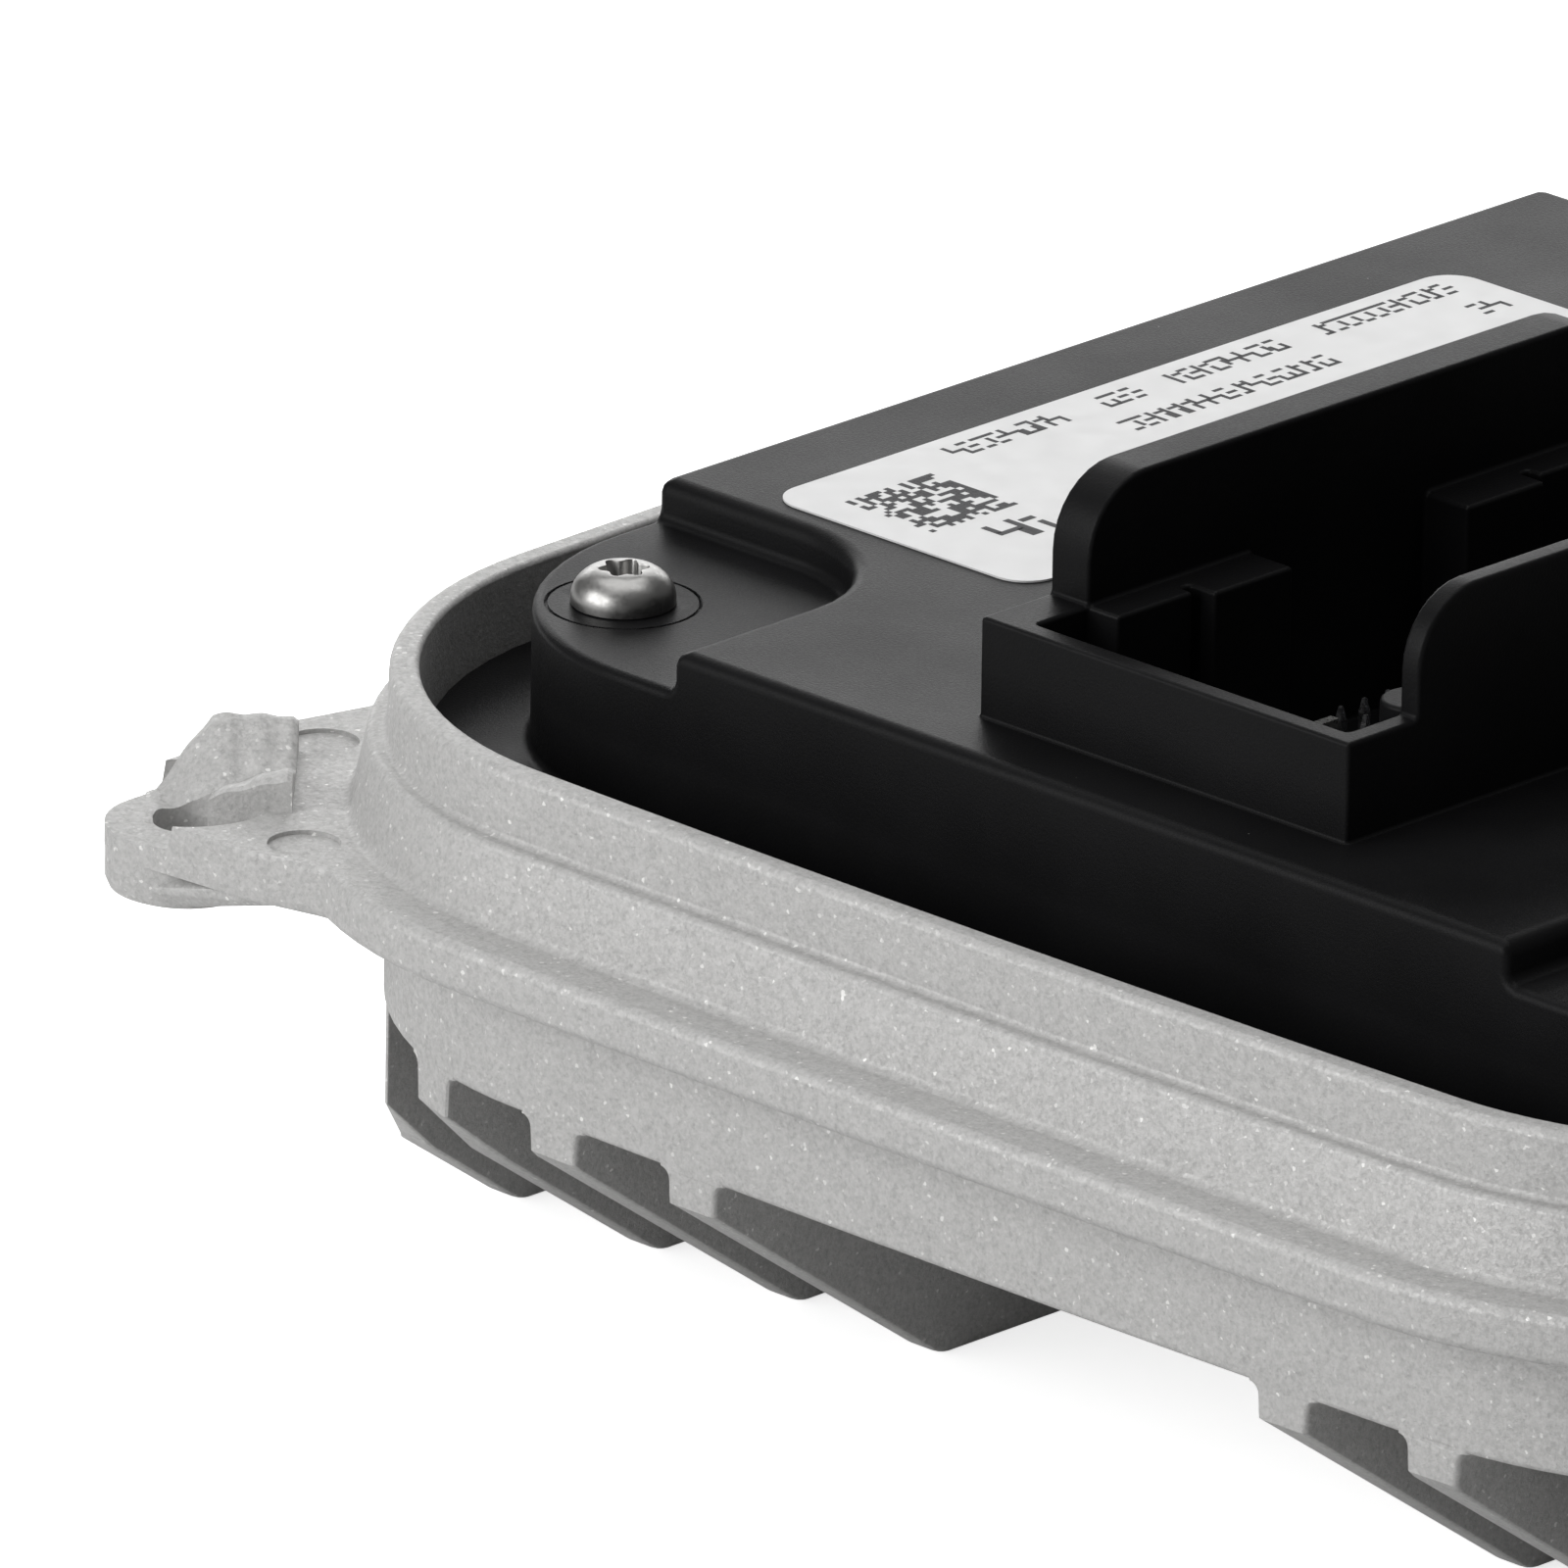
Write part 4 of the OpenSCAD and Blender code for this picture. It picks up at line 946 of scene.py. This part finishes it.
class CONTROLUNIT_OT_lid(bpy.types.Operator):
    """Build the moulded lid with its pockets and connector shroud."""
    bl_idname = "controlunit.lid"
    bl_label = "Moulded lid"

    def execute(self, context):
        p = context.scene.controlunit_lid
        near = 0.15 * MM
        ring_zone = 6.4 * MM
        screw_x, screw_y = p.half_x - 11.3 * MM, p.half_y - 11.3 * MM
        shroud_x, shroud_half, shroud_near, shroud_far = 1.7 * MM, 19.2 * MM, -69 * MM, 4.2 * MM

        def radius_of(middle, along):
            x, y, z = middle
            outside = max(abs(x) - p.half_x, abs(y) - p.half_y)
            level = abs(along.z) < 0.3
            if z < p.trough - near or outside > 1 * MM:
                return 0.0
            if z > p.top + near:
                return p.shroud_radius
            if math.hypot(abs(x) - screw_x, abs(y) - screw_y) < ring_zone:
                return 0.0
            if abs(z - p.trough) < near:
                return 0.7 * MM
            if abs(x - shroud_x) < shroud_half and shroud_near < y < shroud_far:
                return 0.3 * MM
            if abs(z - p.top) < near:
                edge = min(p.half_x - abs(x), p.half_y - abs(y))
                return p.edge_radius if edge < 0.3 * MM else p.pocket_radius
            if abs(z - p.pocket) < near:
                return 0.8 * MM
            if not level and z > p.pocket - near:
                return 0.8 * MM
            return 0.0

        piece = softened_copy("cover", "moulded_lid", radius_of)
        piece.data.materials.clear()
        piece.data.materials.append(eroded_plastic(p))
        finished(piece, "moulded_plastic", "cover")
        return {"FINISHED"}


class CONTROLUNIT_OT_screws(bpy.types.Operator):
    """Build the lid's screws with their six-lobed recess."""
    bl_idname = "controlunit.screws"
    bl_label = "Lid screws"

    def execute(self, context):
        p = context.scene.controlunit_screws
        lid = context.scene.controlunit_lid
        steps = 72
        r, h = p.head / 2, p.height

        def lobes(grow, z):
            ring = []
            for i in range(steps):
                a = 2 * math.pi * i / steps
                q = p.recess / 2 * (0.86 + 0.14 * math.cos(6 * a)) + grow
                ring.append((q * math.cos(a), q * math.sin(a), z))
            return ring

        def dome(q):
            return 0.16 * h + 0.84 * h * math.sqrt(max(0.0, 1 - (q / r) ** 2.5))

        rim = p.recess / 2 + 0.12 * MM
        rings = [[(0.0, 0.0, h - p.recess_depth - 0.35 * MM)],
                 circle(0.3 * p.recess, h - p.recess_depth - 0.1 * MM, steps),
                 lobes(-0.12 * MM, h - p.recess_depth), lobes(0.0, h - p.recess_depth + 0.15 * MM),
                 lobes(0.0, dome(rim) - 0.16 * MM), lobes(0.05 * MM, dome(rim) - 0.06 * MM),
                 lobes(0.14 * MM, dome(rim + 0.14 * MM))]
        for k in range(1, 13):
            q = rim + 0.2 * MM + (r - rim - 0.2 * MM) * math.sin(math.pi / 2 * k / 12)
            rings.append(circle(q, dome(q), steps))
        for radius, z in ((r, 0.1 * MM), (r - 0.1 * MM, 0.0), (p.shank / 2, 0.0),
                          (p.shank / 2, -p.shank_length + 0.6 * MM), (p.shank / 2 - 0.6 * MM, -p.shank_length)):
            rings.append(circle(radius, z, steps))
        helper = linked("screw_form", ring_solid(rings, "screw_form"))
        x, y = lid.half_x - p.inset, lid.half_y - p.inset
        places = places_mesh("lid_screws", [(sx * x, sy * y, lid.pocket) for sx in (-1, 1) for sy in (-1, 1)])
        piece = grown("lid_screws", places, repeat_tree(),
                      {"Part": helper, "Turn": math.pi / 3, "Seed": 3, "Finish": formed_steel(p.steel)},
                      math.radians(38))
        drop(helper)
        finished(piece, "stainless_steel", "cover_screws")
        return {"FINISHED"}


class CONTROLUNIT_OT_label(bpy.types.Operator):
    """Give the label its film and print it with marks that say nothing."""
    bl_idname = "controlunit.label"
    bl_label = "Label"

    def execute(self, context):
        p = context.scene.controlunit_label
        coat(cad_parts["label"], label_film(p), "label_film")
        ink = printed_ink(p)
        top = LABEL_HIGH.z

        # Six marks made of bars, none of them a letter or a digit
        bars = (
            ((-0.31, -0.5, -0.18, 0.5), (0.18, -0.5, 0.31, 0.0), (-0.05, 0.2, 0.31, 0.33)),
            ((-0.31, -0.5, -0.18, 0.0), (0.18, -0.5, 0.31, 0.0), (-0.18, -0.5, 0.18, -0.37), (-0.1, 0.37, 0.31, 0.5)),
            ((-0.31, 0.37, 0.31, 0.5), (-0.31, -0.5, 0.05, -0.37), (0.18, -0.3, 0.31, 0.2)),
            ((-0.31, 0.06, -0.18, 0.5), (0.18, -0.5, 0.31, -0.07), (-0.31, -0.07, 0.31, 0.06)),
            ((-0.06, -0.5, 0.07, 0.5), (-0.31, -0.5, -0.06, -0.37), (0.07, 0.2, 0.31, 0.33)),
            ((-0.31, 0.37, 0.1, 0.5), (-0.1, -0.07, 0.31, 0.06), (-0.31, -0.5, 0.1, -0.37)),
        )
        grow = 0.02
        marks = bpy.data.collections.new("marks")
        helpers = []
        for k, mark in enumerate(bars):
            bm = bmesh.new()
            for x0, y0, x1, y1 in mark:
                # a mark's own upright lies across the label, and its bars run a little into each other
                add_box(bm, (-y1 - grow, x0 - grow, 0.0), (grow - y0, x1 + grow, p.ink_height))
            helper = bpy.data.objects.new(f"mark_{k}", mesh_of(bm, f"mark_{k}"))
            marks.objects.link(helper)
            helpers.append(helper)

        # Lines of marks: distance of the line from the label's left edge, where it starts along it, marks, size
        places, heights = [], []
        lines = ((2.8, 17.1, 8, 1.0), (2.8, 33.4, 3, 1.0), (2.8, 41.3, 8, 1.0), (2.8, 57.3, 10, 1.0),
                 (7.8, 31.1, 15, 1.0), (7.8, 69.6, 2, 1.0), (17.9, 6.7, 2, 1.6))
        for across, start, count, size in lines:
            for i in range(count):
                along = start * MM + (i + 0.5) * p.pitch * size
                places.append((LABEL_LOW.x + across * MM, LABEL_LOW.y + along, top))
                heights.append(p.mark * size)
        words = grown("label_marks", places_mesh("label_marks", places, heights), marks_tree(),
                      {"Marks": marks, "Seed": p.seed, "Finish": ink})
        drop(*helpers)
        bpy.data.collections.remove(marks)
        finished(words, "label_film")

        cell = p.code_side / p.code_cells
        bm = bmesh.new()
        add_box(bm, (-cell * 0.48, -cell * 0.48, 0.0), (cell * 0.48, cell * 0.48, p.ink_height))
        module = linked("module", mesh_of(bm, "module"))
        middle = (LABEL_LOW.x + p.code_x + p.code_side / 2, LABEL_LOW.y + p.code_y + p.code_side / 2, top)
        code = grown("label_code", places_mesh("label_code", [(0, 0, 0)]), code_tree(),
                     {"Module": module, "Side": p.code_side - cell, "Cells": p.code_cells, "Fill": 0.58,
                      "Seed": p.seed, "Middle": middle, "Finish": ink})
        drop(module)
        finished(code, "label_film")
        return {"FINISHED"}


class CONTROLUNIT_OT_pins(bpy.types.Operator):
    """Build the connector's signal pins with tapered points."""
    bl_idname = "controlunit.pins"
    bl_label = "Signal pins"

    def execute(self, context):
        p = context.scene.controlunit_pins
        half = p.thickness / 2
        low, high = PINS_LOW.z, PINS_HIGH.z
        square = ((-1, -1), (1, -1), (1, 1), (-1, 1))

        def ring(scale, z):
            return [(half * scale * sx, half * scale * sy, z) for sx, sy in square]

        helper = linked("pin_form", ring_solid([ring(0.55, low), ring(1.0, low + 0.4 * MM), ring(1.0, high - p.taper),
                                                ring(0.4, high)], "pin_form"))
        step_x = (PINS_HIGH.x - PINS_LOW.x - p.thickness) / (p.rows - 1)
        step_y = (PINS_HIGH.y - PINS_LOW.y - p.thickness) / (p.per_row - 1)
        first = PINS_LOW.x + half, PINS_LOW.y + half
        places = places_mesh("contact_pins", [(first[0] + i * step_x, first[1] + j * step_y, 0.0)
                                              for i in range(p.rows) for j in range(p.per_row)])
        tin = plain_finish("tin_flash", p.plating, 1.0, 0.28, 4 * MM, 0.4 * MM, 0.003 * MM)
        piece = grown("contact_pins", places, repeat_tree(), {"Part": helper, "Turn": 0.0, "Finish": tin})
        drop(helper)
        finished(piece, "tin_plating", "signal_pins")
        return {"FINISHED"}


class CONTROLUNIT_OT_coil(bpy.types.Operator):
    """Wind the choke inside the case with separate turns of wire."""
    bl_idname = "controlunit.coil"
    bl_label = "Choke winding"

    def execute(self, context):
        p = context.scene.controlunit_coil
        bm = bmesh.new()
        around, across = 20, 6
        middle_r = p.tube + p.wire / 2
        verts = []
        for i in range(around):
            a = 2 * math.pi * i / around
            for j in range(across):
                b = 2 * math.pi * j / across
                q = middle_r + p.wire * 0.48 * math.cos(b)
                verts.append(bm.verts.new((q * math.cos(a), q * math.sin(a), p.wire * 0.48 * math.sin(b))))
        for i in range(around):
            for j in range(across):
                a, b = i * across, ((i + 1) % around) * across
                k = (j + 1) % across
                bm.faces.new((verts[a + j], verts[b + j], verts[b + k], verts[a + k]))
        bmesh.ops.recalc_face_normals(bm, faces=bm.faces)
        helper = linked("wire_form", mesh_of(bm, "wire_form"))
        middle = (CHOKE_LOW + CHOKE_HIGH) / 2
        wire = plain_finish("enamelled_wire", p.copper, 0.9, 0.3, 3 * MM, 0.5 * MM, 0.004 * MM)
        piece = grown("choke_turns", places_mesh("choke_turns", [(0, 0, 0)]), winding_tree(),
                      {"Turn of wire": helper, "Ring radius": p.ring, "Turns": p.turns, "Middle": middle,
                       "Finish": wire}, math.radians(60))
        drop(helper)
        finished(piece, "copper_wire", "choke_winding")
        return {"FINISHED"}


class CONTROLUNIT_OT_vent(bpy.types.Operator):
    """Build the vent's cap with soft edges."""
    bl_idname = "controlunit.vent"
    bl_label = "Vent cap"

    def execute(self, context):
        lid = context.scene.controlunit_lid
        top = VENT_TOP

        def radius_of(middle, along):
            return 0.7 * MM if middle.z > top - 0.1 * MM else 0.0

        piece = softened_copy("vent_cap", "vent_button", radius_of)
        piece.data.materials.clear()
        piece.data.materials.append(eroded_plastic(lid, "vent_plastic", 0.36))
        finished(piece, "moulded_plastic", "vent_cap")
        return {"FINISHED"}


class CONTROLUNIT_OT_inside(bpy.types.Operator):
    """Give every piece inside its own finish."""
    bl_idname = "controlunit.inside"
    bl_label = "Inside finishes"

    def execute(self, context):
        # slot: material, colour, metallic, roughness, patch, grain, bump height, nodes
        finishes = {
            "sealing_rubber": ("seal_rubber", (0.03, 0.03, 0.032), 0.0, 0.62, 8, 0.4, 0.01,
                               ("cover_gasket", "vent_o_ring")),
            "zinc_plated_steel": ("zinc_plate", (0.55, 0.56, 0.58), 1.0, 0.34, 5, 0.5, 0.006,
                                  ("compression_limiters", "board_screws", "board_dowels")),
            "carrier_plastic": ("carrier_plastic", (0.02, 0.02, 0.021), 0.0, 0.45, 8, 0.3, 0.01, ("pin_carrier",)),
            "tin_plating": ("tin_plate", (0.66, 0.66, 0.64), 1.0, 0.3, 4, 0.3, 0.004, ("power_blades",)),
            "thermal_rubber": ("thermal_pad", (0.32, 0.38, 0.5), 0.0, 0.75, 6, 0.5, 0.02, ("thermal_pads",)),
            "component_plastic": ("moulding_compound", (0.016, 0.016, 0.017), 0.0, 0.5, 3, 0.15, 0.008,
                                  ("power_transistors", "microcontroller", "gate_drivers", "bus_transceivers",
                                   "voltage_regulator", "chip_resistors")),
            "capacitor_can": ("can_sleeve", (0.03, 0.04, 0.1), 0.0, 0.3, 6, 0.6, 0.006, ("storage_capacitors",)),
            "ferrite": ("pressed_ferrite", (0.05, 0.05, 0.055), 0.1, 0.55, 2, 0.2, 0.012, ("choke_core",)),
            "shunt_alloy": ("rolled_alloy", (0.5, 0.4, 0.33), 1.0, 0.35, 6, 0.3, 0.006, ("current_shunt",)),
            "crystal_can": ("plated_can", (0.6, 0.6, 0.58), 1.0, 0.25, 2, 0.3, 0.004, ("quartz_crystal",)),
            "ceramic": ("fired_ceramic", (0.4, 0.27, 0.16), 0.0, 0.6, 1, 0.1, 0.004, ("ceramic_capacitors",)),
            "membrane_film": ("expanded_film", (0.8, 0.8, 0.78), 0.0, 0.7, 1, 0.1, 0.008, ("vent_membrane",)),
        }
        for slot, (name, colour, metallic, roughness, patch, grain, height, nodes) in finishes.items():
            finish = plain_finish(name, colour, metallic, roughness, patch * MM, grain * MM, height * MM)
            for node in nodes:
                coat(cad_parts[node], finish, slot)
        coat(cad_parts["circuit_board"], solder_resist(), "board_laminate")
        return {"FINISHED"}


def panel_light(name, place, aim, size, watts):
    light = bpy.data.lights.new(name, "AREA")
    light.shape = "RECTANGLE"
    light.size, light.size_y = size
    light.energy = watts
    lamp = bpy.data.objects.new(name, light)
    bpy.context.scene.collection.objects.link(lamp)
    lamp.location = place
    lamp.rotation_euler = (Vector(aim) - Vector(place)).to_track_quat("-Z", "Y").to_euler()
    lamp.visible_camera = False


class CONTROLUNIT_OT_stage(bpy.types.Operator):
    """Set up the floor, the soft lights and the camera."""
    bl_idname = "controlunit.stage"
    bl_label = "Stage"

    def execute(self, context):
        p = context.scene.controlunit_stage
        scene = context.scene
        scene.view_settings.view_transform = "Standard"

        bm = bmesh.new()
        bmesh.ops.create_grid(bm, x_segments=8, y_segments=8, size=p.floor / 2)
        floor = linked("floor", mesh_of(bm, "floor"))
        paper = bpy.data.materials.new("white_paper")
        paper.use_nodes = True
        nodes, links = paper.node_tree.nodes, paper.node_tree.links
        bsdf = next(n for n in nodes if n.type == "BSDF_PRINCIPLED")
        # the floor glows a little for the camera alone, so that it reads as white paper
        bsdf.inputs["Base Color"].default_value = (0.8, 0.8, 0.8, 1.0)
        bsdf.inputs["Roughness"].default_value = 0.9
        bsdf.inputs["Emission Color"].default_value = (1.0, 1.0, 1.0, 1.0)
        seen = nodes.new("ShaderNodeLightPath").outputs["Is Camera Ray"]
        lift = nodes.new("ShaderNodeMath")
        lift.operation = "MULTIPLY"
        lift.inputs[1].default_value = 0.75
        links.new(seen, lift.inputs[0])
        links.new(lift.outputs[0], bsdf.inputs["Emission Strength"])
        floor.data.materials.append(paper)

        world = bpy.data.worlds.new("room")
        scene.world = world
        world.use_nodes = True
        nodes, links = world.node_tree.nodes, world.node_tree.links
        background = next(n for n in nodes if n.type == "BACKGROUND")
        path = nodes.new("ShaderNodeLightPath")
        room = nodes.new("ShaderNodeMix")
        room.inputs[2].default_value = p.room
        room.inputs[3].default_value = 1.0
        links.new(path.outputs["Is Camera Ray"], room.inputs[0])
        links.new(room.outputs[0], background.inputs["Strength"])
        background.inputs["Color"].default_value = (1.0, 1.0, 1.0, 1.0)

        middle = (0.0, 0.0, 0.04)
        panel_light("key_panel", (-0.55, -1.7, 0.75), middle, (1.8, 1.1), p.key)
        panel_light("top_panel", (-0.2, 0.1, 1.5), middle, (1.6, 1.6), p.top)
        panel_light("back_panel", (-1.6, 1.6, 0.75), middle, (2.6, 1.2), p.back)

        aim = Vector((-46.81, -58.65, 39.52)) * MM
        az, el = p.azimuth, p.elevation
        forward = Vector((-math.sin(az) * math.cos(el), math.cos(az) * math.cos(el), -math.sin(el)))
        level = Vector((math.cos(az), math.sin(az), 0.0))
        upright = level.cross(forward)
        right = level * math.cos(p.roll) + upright * math.sin(p.roll)
        up = upright * math.cos(p.roll) - level * math.sin(p.roll)
        eye = aim - forward * p.distance
        data = bpy.data.cameras.new("camera")
        data.lens = p.lens
        data.sensor_width = 36.0
        data.clip_end = 100.0
        camera = bpy.data.objects.new("camera", data)
        scene.collection.objects.link(camera)
        camera.matrix_world = Matrix(((right.x, up.x, -forward.x, eye.x), (right.y, up.y, -forward.y, eye.y),
                                      (right.z, up.z, -forward.z, eye.z), (0, 0, 0, 1)))
        scene.camera = camera
        return {"FINISHED"}


OPERATORS = (CONTROLUNIT_OT_case, CONTROLUNIT_OT_lid, CONTROLUNIT_OT_screws, CONTROLUNIT_OT_label,
             CONTROLUNIT_OT_pins, CONTROLUNIT_OT_coil, CONTROLUNIT_OT_vent, CONTROLUNIT_OT_inside, CONTROLUNIT_OT_stage)
GROUPS = {
    "controlunit_case": CONTROLUNIT_PG_case,
    "controlunit_lid": CONTROLUNIT_PG_lid,
    "controlunit_screws": CONTROLUNIT_PG_screws,
    "controlunit_label": CONTROLUNIT_PG_label,
    "controlunit_pins": CONTROLUNIT_PG_pins,
    "controlunit_coil": CONTROLUNIT_PG_coil,
    "controlunit_stage": CONTROLUNIT_PG_stage,
}


class CONTROLUNIT_PT_panel(bpy.types.Panel):
    """Builds the control unit piece by piece."""
    bl_idname = "CONTROLUNIT_PT_panel"
    bl_label = "Control unit"
    bl_space_type = "VIEW_3D"
    bl_region_type = "UI"
    bl_category = "Control Unit"

    def draw(self, context):
        for name, group in GROUPS.items():
            box = self.layout.box()
            box.label(text=group.__doc__)
            for key in group.__annotations__:
                box.prop(getattr(context.scene, name), key)
        for operator in OPERATORS:
            self.layout.operator(operator.bl_idname)


def register():
    for cls in (*GROUPS.values(), *OPERATORS, CONTROLUNIT_PT_panel):
        bpy.utils.register_class(cls)
    for name, group in GROUPS.items():
        setattr(bpy.types.Scene, name, PointerProperty(type=group))


def unregister():
    for name in GROUPS:
        delattr(bpy.types.Scene, name)
    for cls in (CONTROLUNIT_PT_panel, *reversed(OPERATORS), *reversed(list(GROUPS.values()))):
        bpy.utils.unregister_class(cls)


def main():
    register()
    for operator in OPERATORS:
        group, name = operator.bl_idname.split(".")
        getattr(getattr(bpy.ops, group), name)()
    bpy.context.view_layer.update()


if __name__ == "__main__":
    main()
